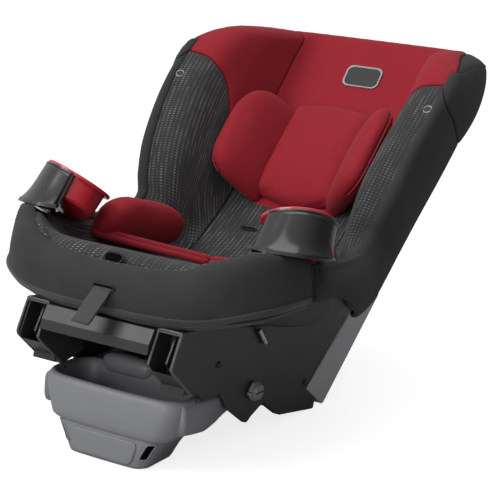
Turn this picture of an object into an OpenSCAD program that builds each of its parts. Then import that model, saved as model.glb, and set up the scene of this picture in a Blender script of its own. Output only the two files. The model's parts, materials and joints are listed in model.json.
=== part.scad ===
// Convertible child car seat, shown in its reclined rear-facing position.
// Frame: +X towards the child's left, front of the seat towards -Y, +Z up.
// Origin: on the ground, on the centre plane, below the seat bight. Millimetres.

/* [Seat shell] */
// Half-width of the seat body at the arms
seat_half_w = 202; // [198:1:206]
// Half-width of the head wings at their widest
wing_half_w = 219; // [214:1:224]
// Wall share of the moulded shell, as a fraction of the side depth
shell_t = 0.16; // [0.12:0.01:0.2]

/* [Base] */
// Half-width of the base over its side panels
base_half_w = 111; // [109:1:113]
// Thickness of a base side panel
panel_t = 5; // [4:0.5:6]
// Width of the rear-facing strip along the base's rear edge
strip_w = 34; // [28:1:38]

/* [Recline foot] */
// Radius of the foot's pivot rod
rod_r = 6; // [5:0.5:7]
// Running clearance of the rod in its bores
run_c = 0.05; // [0.03:0.01:0.1]
// Half-width of the foot tray
tray_half_w = 104; // [100:1:106]

/* [Cup holders] */
// Outer radius of the cup liner's rim
cup_rim_r = 46.5; // [44:0.5:47]
// Depth of the cup liner under its rim
cup_depth = 43; // [38:1:45]

/* [Harness] */
// Width of the harness webbing
web_w = 38; // [34:1:40]
// Width of the adjuster and anchor webbing
web_s = 25; // [22:1:28]
// Thickness of webbing
web_t = 1.6; // [1.4:0.1:2]

/* [Hidden] */
$fn = 48;

CHARCOAL = [0.20, 0.20, 0.21];  // fabric
CRIMSON = [0.55, 0.11, 0.15];   // fabric
BLACK = [0.12, 0.12, 0.13];     // satin plastic
GREY = [0.49, 0.50, 0.52];      // plastic
STEEL = [0.75, 0.75, 0.77];
FOAM = [0.85, 0.85, 0.84];
PATCH = [0.35, 0.35, 0.36];
BADGE = [0.7, 0.7, 0.7];
BUTTON_RED = [0.7, 0.1, 0.1];

/* ---------- general helpers ---------- */
function lerp(a, b, t) = a + (b-a)*t;
function steps(span, count) = [for (i = [0:count]) lerp(span[0], span[1], i/count)];
function sign_of(t) = t < 0 ? -1 : 1;
function unit(v) = v/norm(v);

// Left side as drawn, right side mirrored
module on_side(side) {
  if (side > 0) children();
  else mirror([1, 0, 0]) children();
}
// Extrudes a [Y, Z] drawing along +X from x
module side_extrude(x, width)
  translate([x, 0, 0]) rotate([90, 0, 90]) linear_extrude(width) children();
module side_prism(x, width, outline) side_extrude(x, width) polygon(outline);
// Cylinder along +X from x, at place [Y, Z]
module x_rod(x, place, radius, length)
  translate([x, place[0], place[1]]) rotate([0, 90, 0]) cylinder(r=radius, h=length);
// Box centred on X = 0, from y and z up
module centred_box(size, y, z) translate([-size[0]/2, y, z]) cube(size);

/* ---------- seat surfaces ---------- */
// A point of the seat has a station (along it), a share across (-1 to 1)
// and a depth (0 at the child's side, 1 outside).
// Stations along the seat, front lip to top of the back:
// [inner centre Y,Z, edge X,Y,Z, outer centre Y,Z, outer half-width, seat share]
STATIONS = [
  [-298,248, 112,-296,262, -300,214, 118, 1],
  [-278,256, 142,-270,272, -280,196, 150, 1],
  [-240,246, 166,-235,273, -240,182, 182, 1],
  [-180,212, 176,-180,257, -180,168, seat_half_w-13, 1],
  [-110,192, 178,-115,241, -110,154, seat_half_w-1, 1],
  [-40,184,  178,-40,238,  -40,146,  seat_half_w, 1],
  [25,182,   176,12,244,   35,145,   seat_half_w-6, .8],
  [75,197,   174,38,260,   92,160,   seat_half_w-8, .5],
  [130,227,  181,46,286,   154,191,  wing_half_w-21, .2],
  [190,268,  190,66,326,   218,234,  wing_half_w-14, 0],
  [248,314,  197,96,370,   280,282,  wing_half_w-8, 0],
  [304,365,  203,130,408,  340,335,  wing_half_w-3, 0],
  [350,408,  206,166,442,  388,384,  wing_half_w, 0],
  [383,445,  206,198,466,  418,428,  wing_half_w-2, 0],
  [405,472,  203,232,482,  428,462,  wing_half_w-8, 0]];
// Half cross-sections of the wings and the seat, centre to edge:
// [share of half-width, share of the way to the edge]
INNER_WING = [[0,0], [.17,0], [.34,.005], [.5,.04], [.63,.14], [.745,.33], [.84,.56],
  [.925,.79], [1,1]];
INNER_SEAT = [[0,0], [.2,0], [.4,0], [.58,.02], [.73,.1], [.83,.3], [.885,.55], [.93,.8],
  [1,1]];
OUTER_WING = [[0,0], [.2,.005], [.4,.02], [.6,.08], [.78,.2], [.91,.37], [.975,.56],
  [1,.78], [.985,.99]];
OUTER_SEAT = [[0,0], [.22,0], [.45,0], [.68,.02], [.88,.1], [.98,.3], [1,.55], [.99,.82],
  [.93,1]];

function clamp_index(i, last) = max(0, min(last, i));
// Catmull-Rom interpolation through a table of rows at whole-number positions
function spline_row(table, position) =
  let (last = len(table)-1, i = clamp_index(floor(position), last-1), f = position-i,
       p0 = table[clamp_index(i-1, last)], p1 = table[i],
       p2 = table[i+1], p3 = table[clamp_index(i+2, last)])
  0.5*((2*p1) + (p2-p0)*f + (2*p0-5*p1+4*p2-p3)*f*f + (3*p1-p0-3*p2+p3)*f*f*f);
function section_share(wing, seat, seat_share, t) =
  lerp(spline_row(wing, t*8), spline_row(seat, t*8), seat_share);
function inner_point(station, across) =
  let (row = spline_row(STATIONS, station),
       share = section_share(INNER_WING, INNER_SEAT, row[8], abs(across)))
  [sign_of(across)*share[0]*row[2], lerp(row[0], row[3], share[1]),
   lerp(row[1], row[4], share[1])];
function outer_point(station, across) =
  let (row = spline_row(STATIONS, station),
       share = section_share(OUTER_WING, OUTER_SEAT, row[8], abs(across)))
  [sign_of(across)*share[0]*row[7], lerp(row[5], row[3], share[1]),
   lerp(row[6], row[4], share[1])];
function depth_point(station, across, depth) =
  lerp(inner_point(station, across), outer_point(station, across), depth);
// Point standing a height in mm proud of the inner surface, towards the child
function proud_point(station, across, height) =
  let (inner = inner_point(station, across), outer = outer_point(station, across))
  inner + height*unit(inner-outer);

// The two triangles of a four-cornered face
function quad(a, b, c, d) = [[a, b, c], [a, c, d]];
// Closed solid between two grids of points of the same size
module slab(near, far) {
  rows = len(near);
  cols = len(near[0]);
  points = concat([for (row = near) each row], [for (row = far) each row]);
  function a(i, j) = i*cols + j;
  function b(i, j) = rows*cols + i*cols + j;
  last = rows-1;
  end = cols-1;
  polyhedron(points, concat(
    [for (i = [0:last-1], j = [0:end-1]) each quad(a(i,j), a(i,j+1), a(i+1,j+1), a(i+1,j))],
    [for (i = [0:last-1], j = [0:end-1]) each quad(b(i,j), b(i+1,j), b(i+1,j+1), b(i,j+1))],
    [for (j = [0:end-1]) each quad(a(0,j), b(0,j), b(0,j+1), a(0,j+1))],
    [for (j = [0:end-1]) each quad(a(last,j), a(last,j+1), b(last,j+1), b(last,j))],
    [for (i = [0:last-1]) each quad(a(i,0), a(i+1,0), b(i+1,0), b(i,0))],
    [for (i = [0:last-1]) each quad(a(i,end), b(i,end), b(i+1,end), a(i+1,end))]),
    convexity=6);
}
function depth_grid(starts, ends, rows, columns, depth) =
  [for (i = [0:rows]) [for (j = [0:len(columns)-1])
    depth_point(lerp(starts[j], ends[j], i/rows), columns[j], depth)]];
// Layer whose start and end stations are given for each column
module layer_between(starts, ends, rows, columns, depths)
  slab(depth_grid(starts, ends, rows, columns, depths[0]),
       depth_grid(starts, ends, rows, columns, depths[1]));
// Layer between pairs of stations, shares across and depths
module layer(stations, rows, across, cols, depths) {
  columns = steps(across, cols);
  layer_between([for (t = columns) stations[0]], [for (t = columns) stations[1]],
    rows, columns, depths);
}
function proud_grid(stations, rows, across, cols, height) =
  [for (u = steps(stations, rows)) [for (t = steps(across, cols)) proud_point(u, t, height)]];

// Frame on the centre plane, its +Y along the line from before to after
module on_tangent(centre, before, after) {
  run = after-before;
  translate([0, centre[1], centre[2]]) rotate([atan2(run[2], run[1]), 0, 0]) children();
}
module at_depth(station, depth, step=.2)
  on_tangent(depth_point(station, 0, depth),
    depth_point(station-step, 0, depth), depth_point(station+step, 0, depth)) children();

/* ---------- shell and soft layers ---------- */
SHELL_DEPTH = 0.74;   // depth of the shell's inner face
STRAP_SLOT_X = 45;    // shoulder slots, each side of the centre
STRAP_SLOT_W = 48;

// Pair of harness slots through the back
module strap_slots(station, height)
  for (s = [-1, 1]) translate([s*STRAP_SLOT_X, 0, 0])
    at_depth(station, .8, step=.3) centred_box([STRAP_SLOT_W, height, 80], y=-height/2, z=-40);
// Straight channel the adjuster strap runs in
module pull_slot()
  translate([0, -312, 222]) rotate([32.1, 0, 0]) centred_box([28, 82, 6], y=-26, z=-3);

module seat_shell() color(BLACK) difference() {
  layer([.45, 13.7], 26, [-.94, .94], 22, [SHELL_DEPTH, SHELL_DEPTH+shell_t]);
  // openings for the crotch strap, the harness and the adjuster strap
  centred_box([50, 14, 110], y=-125, z=120);
  strap_slots(station=10.2, height=16);
  centred_box([36, 30, 110], y=-264, z=150);
  pull_slot();
}
// Pressed steel brace across the rear of the shell
module shell_cross_brace() {
  length = 140;
  hole_inset = 12;
  color(STEEL) at_depth(11.4, 1.02) translate([-length/2, -11, -5]) difference() {
    cube([length, 22, 4]);
    for (x = [hole_inset, length-hole_inset]) translate([x, 11, -1]) cylinder(r=3.2, h=6);
  }
}
module seat_cover() color(CHARCOAL) difference() {
  layer([.25, 7.3], 18, [-1, 1], 20, [0, .59]);
  centred_box([48, 11, 140], y=-124, z=100);
  centred_box([30, 32, 80], y=-266, z=200);
  pull_slot();
}
PAD_START = 7.38;   // station where the back's padding starts
module back_pad() color(CHARCOAL) difference() {
  layer([PAD_START, 10.3], 8, [-.5, .5], 8, [.02, .66]);
  strap_slots(station=9.3, height=9);
}

// Station of the seam between the wing and head covers; it rises towards the edges
function seam_station(across) = 10.35 + 1.75*pow(max(0, (abs(across)-.62)/.38), .7);
COVER_DEPTHS = [0, .34];
module wing_cover(side) color(CHARCOAL) on_side(side) {
  columns = steps([.515, 1], 6);
  layer_between([for (t = columns) PAD_START], [for (t = columns) seam_station(t)-.05],
    8, columns, COVER_DEPTHS);
}
module head_cover() color(CRIMSON) {
  columns = steps([-1, 1], 20);
  layer_between([for (t = columns) seam_station(t)], [for (t = columns) 13.95],
    8, columns, COVER_DEPTHS);
}
module side_foam(side)
  color(FOAM) on_side(side) layer([8.2, 13.2], 9, [.58, .93], 6, [.38, .70]);
module side_cover(side)
  color(CHARCOAL) on_side(side) layer([3.15, 13.9], 20, [.66, 1], 6, [.925, 1]);

// Plan of the seat's front, a superellipse
PLAN_Y = -178;
PLAN_LENGTH = 146;
PLAN_POWER = 2.6;
function plan(angle, inset) =
  let (c = pow(abs(cos(angle)), 2/PLAN_POWER), q = pow(abs(sin(angle)), 2/PLAN_POWER))
  [sign_of(cos(angle))*(seat_half_w-inset)*c, PLAN_Y - (PLAN_LENGTH-inset)*q];
// Height of the apron's top edge, before it drops towards the back
function crest(x) = 256 + 18*pow(min(1, abs(x)/150), 2.2);

// Apron wrapped round the front
module apron_cover() {
  bottom_z = 205;
  thickness = 7;
  angles = [for (i = [0:30]) 180 - 180*i/30];
  // [share of the height, inset of the outer face]
  rows = [[0,6], [.12,2], [.4,0], [.75,1.5], [1,6]];
  function height(angle, share) =
    let (p = plan(angle, 0), top = crest(p[0]) - 7*(1 + (p[1]-PLAN_Y)/PLAN_LENGTH))
    lerp(bottom_z, top-4, share);
  function face(extra) = [for (row = rows) [for (angle = angles)
    let (p = plan(angle, row[1]+extra)) [p[0], p[1], height(angle, row[0])]]];
  color(CHARCOAL) difference() {
    slab(face(thickness), face(0));
    pull_slot();
  }
}
module badge_patch() color(PATCH)
  on_tangent(proud_point(12.25, 0, .6), proud_point(12.05, 0, .6), proud_point(12.45, 0, .6))
    centred_box([52, 30, 1.4], y=-15, z=.4);
module wing_badge(side) color(BADGE) on_side(side)
  translate(depth_point(11.3, 1, .3) + [-1, -2.5, 1.2]) rotate([58, -12, 0])
    cylinder(r=7, h=1.4);

// Rounding of a pad: 0 at both ends of the share v, 1 at its middle
function crown(v) = 1 - pow(abs(2*v-1), 4);

// Crowned pad on the seat, thicker towards its sides
module seat_insert() {
  stations = [3.2, 7.1];
  across = [-.9, .9];
  rows = 12;
  cols = 18;
  function bulge(b) = 20 + 38*pow(max(0, abs(2*b-1)-.45)/.55, 1.2);
  top = [for (i = [0:rows]) [for (j = [0:cols]) let (a = i/rows, b = j/cols)
    proud_point(lerp(stations[0], stations[1], a), lerp(across[0], across[1], b),
      5 + bulge(b)*pow(crown(a)*crown(b), .5))]];
  color(CRIMSON) difference() {
    slab(top, proud_grid(stations, rows, across, cols, 1));
    // V-shaped mouth for the crotch buckle
    translate([0, 0, 100]) linear_extrude(220) polygon([[-190,-260], [190,-260],
      [118,-172], [22,-94], [0,-86], [-22,-94], [-118,-172]]);
  }
}
// Pillow with a lobe at each side
module head_pillow() {
  stations = [8.95, 11.25];
  across = [-.62, .62];
  rows = 10;
  cols = 16;
  function lobe(b) = let (edge = abs(2*b-1))
    26 + 30*pow(max(0, (edge-.5)/.5), 1.6)*(edge > .97 ? .75 : 1);
  top = [for (i = [0:rows]) [for (j = [0:cols])
    let (a = i/rows, b = j/cols, t = lerp(across[0], across[1], b))
    proud_point(lerp(stations[0], stations[1], a), t, 8 + lobe(b)*pow(crown(a), .5))
      + [-2*t, 0, 0]]];
  color(CRIMSON) slab(top, proud_grid(stations, rows, across, cols, 5));
}
module pillow_flap() color(CRIMSON) slab(
  proud_grid([8.1, 8.85], 4, [-.42, .42], 8, 8),
  proud_grid([8.1, 8.85], 4, [-.42, .42], 8, 4.5));

/* ---------- cup holders ---------- */
CUP_CENTRE = [162, -149, 305];   // rim centre of the left holder
CUP_LEAN = 36.87;                // the holder's axis leans back
SLEEVE_IN_R = 43.8;
// Half-section of the outer sleeve [radius, Z]
SLEEVE = [[SLEEVE_IN_R,-74], [47.5,-74], [46.2,20], [SLEEVE_IN_R,20]];
// Upper surface of the arm, as the bracket meets it [Y, Z]
ARM_TOP = [[-330,292], [-262,287], [-215,279], [-165,268.5], [-110,253], [-60,246], [0,246]];
ARM_X = 60;
ARM_W = 170;
FLANGE_T = 4.5;

// Local frame of a cup: +Z along the holder's axis, origin at the rim's centre
module cup_frame() translate(CUP_CENTRE) rotate([-CUP_LEAN, -3.5, 0]) children();
module rim_tilt() rotate([8, -12, 0]) children();
// Cutter that opens the holder towards the child
module cup_opening() rotate([0, 0, -3]) linear_extrude(200, center=true)
  polygon([[0,0], [-30,-75], [-90,-75], [-90,75], [-6,75]]);

module cup_liner(side) color(CRIMSON) on_side(side) cup_frame() difference() {
  union() {
    difference() {
      rotate_extrude() polygon([[0,-cup_depth], [33,-cup_depth], [36,-cup_depth+3],
        [42,22], [0,22]]);
      rim_tilt() translate([-80, -80, 0]) cube([160, 160, 80]);
    }
    rim_tilt() rotate_extrude() polygon([[38,-3], [cup_rim_r-1,-3], [cup_rim_r,-1.5],
      [cup_rim_r,.8], [cup_rim_r-1.2,2], [38,2]]);
  }
  rotate_extrude() polygon([[0,-cup_depth+2.5], [31,-cup_depth+2.5], [33.6,-cup_depth+5],
    [39.4,22], [39.8,40], [0,40]]);
}
module cup_holder(side) color(BLACK) on_side(side) {
  difference() {
    union() {
      cup_frame() difference() {
        rotate_extrude() polygon(SLEEVE);
        cup_opening();
        rim_tilt() translate([-90, -90, -3.4]) cube([180, 180, 90]);
      }
      // flange draped over the arm
      intersection() {
        cup_frame() translate([0, 0, -80]) difference() {
          cylinder(r1=60, r2=52, h=90);
          cylinder(r=46.5, h=90);
          cup_opening();
        }
        side_prism(ARM_X, ARM_W, concat(ARM_TOP,
          [for (i = [len(ARM_TOP)-1:-1:0]) ARM_TOP[i] + [0, FLANGE_T]]));
      }
    }
    // clear of the arm's padding
    side_prism(ARM_X, ARM_W, concat(ARM_TOP, [[0,100], [-330,100]]));
  }
  // tongue through the cover into the shell
  translate([150, -231, 226]) cube([24, 7, 56]);
}

/* ---------- base ---------- */
PANEL_X = base_half_w-panel_t;   // inner face of a side panel
RAIL_X = 77;                     // inner face of the front rail
PIVOT = [-134, 74];              // foot pivot [Y, Z]
REAR_SCREW = [20, 46];           // [Y, Z]
FRONT_SCREW = [-226, 130];
SCREWS = [REAR_SCREW, FRONT_SCREW];
TIE_HALF_W = 105.5;              // cross ties between the side panels
LUG_W = 12;

// All outlines of the base are side views [Y, Z].
// Panel: bottom edge, then up behind the rear strip, then the top under the shell
PANEL = [[-300,176], [-283,112], [-255,91], [-217,91], [-199,68], [-153,38], [-148,34.6],
  [-143,33.5], [-138,34.6], [-133,38], [-100,49], [-50,18], [49,0], [54,0], [56.6,12.6],
  [25,35], [144,120.4], [195,155.4], [206,225], [196,224], [149,190], [92,158], [35,145.5],
  [-40,146.5], [-110,154], [-180,168], [-240,184], [-262,186], [-290,187]];
BOTTOM_FLANGE = [[-100,49], [-50,18], [49,0], [49,3], [-49,21], [-100,52.5], [-131,42],
  [-132,38.4]];
RAIL_OUT = [[-337,147], [-316,190], [-250,182], [-240,112], [-283,104]];
RAIL_IN = [[-345,151.5], [-321,185.5], [-256,178], [-246,117], [-283,109.5]];
RAIL_OUTER_WALL = [[-334,148], [-314,189], [-250,182], [-240,112], [-283,104]];
RAIL_INNER_WALL = [[-337,149], [-316,189], [-250,182], [-240,112], [-283,104]];
RAIL_CROSS_RIB = [[-303,110], [-299.5,109], [-283,184], [-286.5,184]];
RAIL_LONG_RIB = [[-322,150], [-300,186], [-256,180], [-248,114], [-283,108]];
BELT_OPENING = [[66,135], [90,117], [96,115.5], [138,126], [141,130], [98,146], [92,147]];
// Ribs inside the panel: [top Y, top Z, bottom Y, bottom Z]
PANEL_RIBS = [[-215,150,-205,100], [-34,128,-30,24], [10,130,4,12]];

module pivot_bore(x, length) x_rod(x, PIVOT, rod_r+run_c, length);

module base_side(side) color(BLACK) on_side(side) difference() {
  union() {
    side_prism(PANEL_X, panel_t, PANEL);
    // flange along the bottom edge
    side_prism(PANEL_X-5, 9, BOTTOM_FLANGE);
    // front rail, an open box section that leans forward
    side_extrude(RAIL_X, 34) difference() {
      polygon(RAIL_OUT);
      polygon(RAIL_IN);
    }
    side_prism(PANEL_X, panel_t, RAIL_OUTER_WALL);
    side_prism(RAIL_X, 3.5, RAIL_INNER_WALL);
    // ribs inside the rail
    side_prism(RAIL_X, 32, RAIL_CROSS_RIB);
    side_prism(93, 2.5, RAIL_LONG_RIB);
    // boss for the pivot rod
    x_rod(PANEL_X-5, PIVOT, 13, 7);
    for (rib = PANEL_RIBS)
      side_prism(PANEL_X-8, 9, [[rib[0],rib[1]], [rib[0]+3,rib[1]],
        [rib[2]+3,rib[3]], [rib[2],rib[3]]]);
  }
  side_prism(PANEL_X-20, 40, BELT_OPENING);
  pivot_bore(PANEL_X-12, 30);
  for (place = SCREWS) x_rod(90, place, 2.1, 40);
}

// Bar between the side panels, with a lug for a screw at each end
module cross_tie(y, z, thickness, height, lug_y) {
  centred_box([2*TIE_HALF_W, thickness, height], y, z);
  for (x = [-TIE_HALF_W, TIE_HALF_W-LUG_W]) translate([x, lug_y, z]) cube([LUG_W, 14, height]);
}
module lug_bores(place) for (x = [-106, 93]) x_rod(x, place, 1.95, 14);

BEAM_SKIN = [[-336,160], [-333.5,172], [-323,188], [-300,187], [-262,181], [-262,177.5],
  [-300,183.5], [-320,184], [-330,170.5], [-332.5,159]];
BEAM_RIB = [[-334,161], [-331,172], [-321,186], [-300,185], [-262,179], [-292,160]];
module base_front_beam() color(BLACK) difference() {
  union() {
    side_prism(-76.5, 153, BEAM_SKIN);
    for (x = [-76.5, -38, -1.5, 35, 73]) side_prism(x, 3.5, BEAM_RIB);
    cross_tie(y=-233, z=124, thickness=4, height=14, lug_y=-233);
  }
  lug_bores(FRONT_SCREW);
}

REAR_WALL = [[56,16], [59,13], [196,111], [193,114.5]];
REAR_RIB = [[56,16], [193,114.5], [189,120], [110,74], [46,30]];
REAR_SHELF = [[13,50], [13,54], [90,50], [86,41]];
// Ribbed wall across the rear of the base, between the grey strips
module base_rear_panel() color(BLACK) difference() {
  union() {
    side_prism(-76, 152, REAR_WALL);
    for (x = [-76, -40, 0, 38, 73]) side_prism(x, 3, REAR_RIB);
    cross_tie(y=10, z=36, thickness=5, height=20, lug_y=13);
    side_prism(-76, 152, REAR_SHELF);
  }
  lug_bores(REAR_SCREW);
  // two rows of windows between the ribs
  for (x = [-69, -29.5, 10, 46.5], rise = [.25, .62])
    translate([x, lerp(57, 195, rise), lerp(14, 112, rise)]) rotate([35.6, 0, 0])
      translate([0, 0, -12]) cube([20, 34, 24]);
}
// Floor pan between the side panels
module base_floor_tray() color(BLACK) difference() {
  side_prism(-98, 196, [[-48,24], [22,9.6], [26,11], [20,30], [17,30], [20,13.5], [-46,28]]);
  for (x = [-60, 0, 60]) translate([x-18, -30, -5]) cube([36, 40, 50]);
}

TRIM_OUT = [[27.6,35], [29,32.6], [77,0.6], [80,0], [84,1.6], [242,126], [243,129], [240,131],
  [197,152.5], [194,152], [146,118], [28.2,36.6]];
TRIM_IN = [[36,34.4], [78,5], [82,6], [234,126], [196,147], [148,113.5]];
// Grey strip capping the rear edge of the side panel
module rear_trim(side) color(GREY) on_side(side) difference() {
  side_prism(base_half_w+1.5-strip_w, strip_w, TRIM_OUT);
  // hollow towards the centre
  side_prism(base_half_w-strip_w, strip_w-3, TRIM_IN);
}

/* ---------- recline foot ---------- */
ROD_HALF_L = 113;
ARM_EYE_R = 14;   // eye round the pivot bore
FOOT_BODY = [[-300,0], [-262,0], [-226,20], [-209,60], [-205,90], [-292,86], [-296,60],
  [-300,38]];
FOOT_ARM = [[-226,52], [-226,86], [-190,84], PIVOT+[0,ARM_EYE_R], PIVOT-[0,ARM_EYE_R],
  [-170,56], [-200,40]];
// Sphere centres of the rolled rim [Y, Z]
FOOT_RIM = [[-282,80], [-216,84], [-284,62], [-222,60]];

module foot_pivot_rod() color(STEEL) x_rod(-ROD_HALF_L, PIVOT, rod_r, 2*ROD_HALF_L);
module pivot_knob(side) color(GREY) on_side(side)
  translate([ROD_HALF_L, PIVOT[0], PIVOT[1]]) rotate([0, 90, 0]) difference() {
    union() {
      cylinder(r=12.5, h=5);
      cylinder(r1=10.5, r2=9.5, h=10);
      centred_box([4, 32, 6], y=-16, z=0);
    }
    // slot across the face, and a flat on one side
    centred_box([2.8, 28, 5], y=-14, z=7.5);
    translate([8, -20, -1]) cube([8, 40, 3]);
  }
// Grey foot: an open tray in front, two arms back to the pivot rod
module recline_foot() color(GREY) {
  difference() {
    union() {
      hull() {
        for (x = [-tray_half_w+28, tray_half_w-29]) side_prism(x, 1, FOOT_BODY);
        centred_box([2*tray_half_w-12, 70, 30], y=-288, z=52);
      }
      // rolled rim
      hull() for (s = [-1, 1], place = FOOT_RIM)
        translate([s*(tray_half_w-8), place[0], place[1]]) sphere(r=9, $fn=24);
    }
    // tray
    hull() {
      centred_box([2*tray_half_w-44, 46, 60], y=-276, z=58);
      centred_box([2*tray_half_w-68, 34, 4], y=-268, z=40);
    }
    // recessed front panel and the slots beside it
    centred_box([88, 4, 24], y=-302, z=10);
    for (s = [-1, 1]) translate([s*(tray_half_w-26)-5, -303, 12]) cube([10, 12, 22]);
  }
  for (s = [-1, 1]) difference() {
    side_extrude(s*92-7, 14) union() {
      polygon(FOOT_ARM);
      translate(PIVOT) circle(r=ARM_EYE_R);
    }
    pivot_bore(s*92-8, 16);
  }
}

/* ---------- harness ---------- */
ADJUSTER_AXIS = [-249, 192];   // lever pin [Y, Z]
ADJUSTER_BORE_R = 2.55;

// Flat strip of webbing between two rows of centre points
module webbing(near, far, centre_x, width) {
  function edges(centres) =
    [for (p = centres) [for (j = [0, 1]) p + [centre_x-width/2+width*j, 0, 0]]];
  slab(edges(near), edges(far));
}

// Under the front lip, framing the strap
module adjuster_housing() color(BLACK) difference() {
  centred_box([34, 26, 22], y=-262, z=178);
  centred_box([28, 20, 24], y=-259, z=177);
  x_rod(-18, ADJUSTER_AXIS, ADJUSTER_BORE_R, 40);
}
module adjuster_pin() color(STEEL) x_rod(-16.9, ADJUSTER_AXIS, 2.5, 33.8);
module adjuster_lever() color(STEEL) side_extrude(-12.5, 25) translate(ADJUSTER_AXIS)
  difference() {
    union() {
      circle(r=5.5);
      polygon([[-3,0], [3,0], [3.5,34], [1.5,36], [-1,34]]);
    }
    circle(r=ADJUSTER_BORE_R);
  }
// Pull end hanging over the apron
module adjuster_strap() color(BLACK) side_prism(-web_s/2, web_s,
  [[-274,246], [-312,222.2], [-350,198.4], [-366,187], [-367,188.3], [-351,199.9],
   [-313,223.7], [-275,247.5]]);
// Slotted plate behind the shell
module splitter_plate() color(STEEL)
  on_tangent(depth_point(8.6, 0, 1.12), depth_point(8.4, 0, 1.1), depth_point(8.8, 0, 1.1))
    translate([-35, -14, -6]) difference() {
      cube([70, 28, 3]);
      for (x = [8, 37]) translate([x, 16, -1]) cube([25, 4, 6]);
      translate([22, 6, -1]) cube([26, 4, 6]);
    }
// Stowed length between the back pad and the shell
module harness_strap(side) color(BLACK) on_side(side) {
  stations = steps([8.2, 10.2], 8);
  near = [for (u = stations) depth_point(u, 0, .666)];
  far = [for (u = stations) let (p = depth_point(u, 0, .666))
    p + web_t*unit(depth_point(u, 0, .72)-p)];
  webbing(near, far, centre_x=40, width=web_w);
}
module crotch_strap() color(BLACK) side_prism(-web_w/2, web_w,
  [[-119,140], [-117.4,140], [-117.4,196], [-118.6,197.3], [-123.2,197.2],
   [-123.2,195.6], [-119.6,195.6], [-119,195]]);

// Frame of the buckle: it lies on the seat, its +Y pointing forward
module buckle_frame() translate([0, -124.5, 196.6]) rotate([19, 0, 180]) children();
module buckle_housing() color(BLACK) buckle_frame() difference() {
  centred_box([46, 60, 15], y=0, z=1);
  // tongue mouth and button well
  centred_box([39, 20, 10], y=46, z=3);
  centred_box([18.4, 22.4, 20], y=12, z=9);
}
module buckle_button() color(BUTTON_RED) buckle_frame()
  centred_box([18, 22, 5.5], y=12.2, z=11.5);
module buckle_tongue(side) color(STEEL) buckle_frame() on_side(side)
  translate([1, 48, 5]) difference() {
    cube([17, 26, 2.5]);
    translate([3, 15, -1]) cube([11, 6, 5]);
  }

/* ---------- anchors and fixings ---------- */
// Lower anchor belt: a bar across the base with a connector at each end
module anchor_bar() color(STEEL) x_rod(-106, [-60, 104], 6, 212);
module anchor_strap() color(BLACK) for (s = [-1, 1]) on_side(s) side_prism(72, web_s,
  [[-54,97.5], [-50,97], [-26,74], [-2,67.5], [-2,66], [-27,72.6], [-51,95.4], [-54,96]]);
module latch_frame() translate([78, 2, 58]) children();
module anchor_latch(side) color(BLACK) on_side(side) latch_frame() difference() {
  translate([-5, -3.8, 0]) cube([24, 53.8, 22]);
  // jaw that closes on the vehicle's anchor wire
  x_rod(-6, [44, 11], 3.05, 26);
  translate([-6, 44, 9]) cube([26, 12, 4]);
  // button well
  translate([1, 8, 14]) cube([12.4, 16.4, 12]);
}
module anchor_button(side) color(GREY) on_side(side) latch_frame()
  translate([1.2, 8.2, 18.2]) cube([12, 16, 5.8]);

// Tether strap, standing off the outside of the back
module tether_strap() {
  gap = 7.6;
  outward = unit(depth_point(11, 0, 1.1) - depth_point(11, 0, 1));
  centres = [for (u = steps([10.6, 12.9], 8)) depth_point(u, 0, 1)];
  color(BLACK) webbing([for (p = centres) p + outward*gap],
    [for (p = centres) p + outward*(gap+web_t)], centre_x=0, width=web_s);
}
module tether_frame() at_depth(10.2, 1) translate([0, -6, -14]) children();
module tether_hook() color(STEEL) tether_frame() difference() {
  centred_box([26, 60, 4], y=-44, z=0);
  // throat of the hook
  translate([-13.5, -36, -1]) linear_extrude(6)
    polygon([[6,0], [22,0], [22,20], [27.5,20], [27.5,34], [6,26]]);
  // strap slot
  centred_box([18, 3, 6], y=9, z=-1);
}
module tether_gate() color(STEEL) tether_frame() translate([9.2, -15.7, .6])
  cube([3, 11.1, 2.8]);
// Screws through the side panels into the lugs, with hexagon sockets
module base_screws() color(STEEL) for (s = [-1, 1], place = SCREWS) on_side(s)
  translate([94.2, place[0], place[1]]) rotate([0, 90, 0]) difference() {
    union() {
      cylinder(r=1.9, h=17);
      translate([0, 0, 16.85]) cylinder(r=4.2, h=2.4);
    }
    translate([0, 0, 18]) cylinder(r=2, h=3, $fn=6);
  }
// Steel rod beside the base, leaning forward up to the shell
module shell_rod(side) color(STEEL) on_side(side)
  translate([base_half_w+3.4, -116, 133.9]) rotate([43, 0, 0]) cylinder(r=3.2, h=30);

seat_shell();
shell_cross_brace();
base_side(1);  // base_side_left
base_side(-1);  // base_side_right
base_front_beam();
base_rear_panel();
base_floor_tray();
rear_trim(1);  // rear_trim_left
rear_trim(-1);  // rear_trim_right
recline_foot();
foot_pivot_rod();
pivot_knob(1);  // pivot_knob_left
pivot_knob(-1);  // pivot_knob_right
seat_cover();
apron_cover();
back_pad();
wing_cover(1);  // wing_cover_left
wing_cover(-1);  // wing_cover_right
side_cover(1);  // side_cover_left
side_cover(-1);  // side_cover_right
head_cover();
side_foam(1);  // side_foam_left
side_foam(-1);  // side_foam_right
badge_patch();
wing_badge(1);  // wing_badge_left
wing_badge(-1);  // wing_badge_right
seat_insert();
head_pillow();
pillow_flap();
cup_holder(1);  // cup_holder_left
cup_holder(-1);  // cup_holder_right
cup_liner(1);  // cup_liner_left
cup_liner(-1);  // cup_liner_right
adjuster_housing();
adjuster_lever();
adjuster_pin();
adjuster_strap();
splitter_plate();
harness_strap(1);  // harness_strap_left
harness_strap(-1);  // harness_strap_right
crotch_strap();
buckle_housing();
buckle_button();
buckle_tongue(1);  // buckle_tongue_left
buckle_tongue(-1);  // buckle_tongue_right
anchor_bar();
anchor_strap();
anchor_latch(1);  // anchor_latch_left
anchor_latch(-1);  // anchor_latch_right
anchor_button(1);  // anchor_button_left
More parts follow.
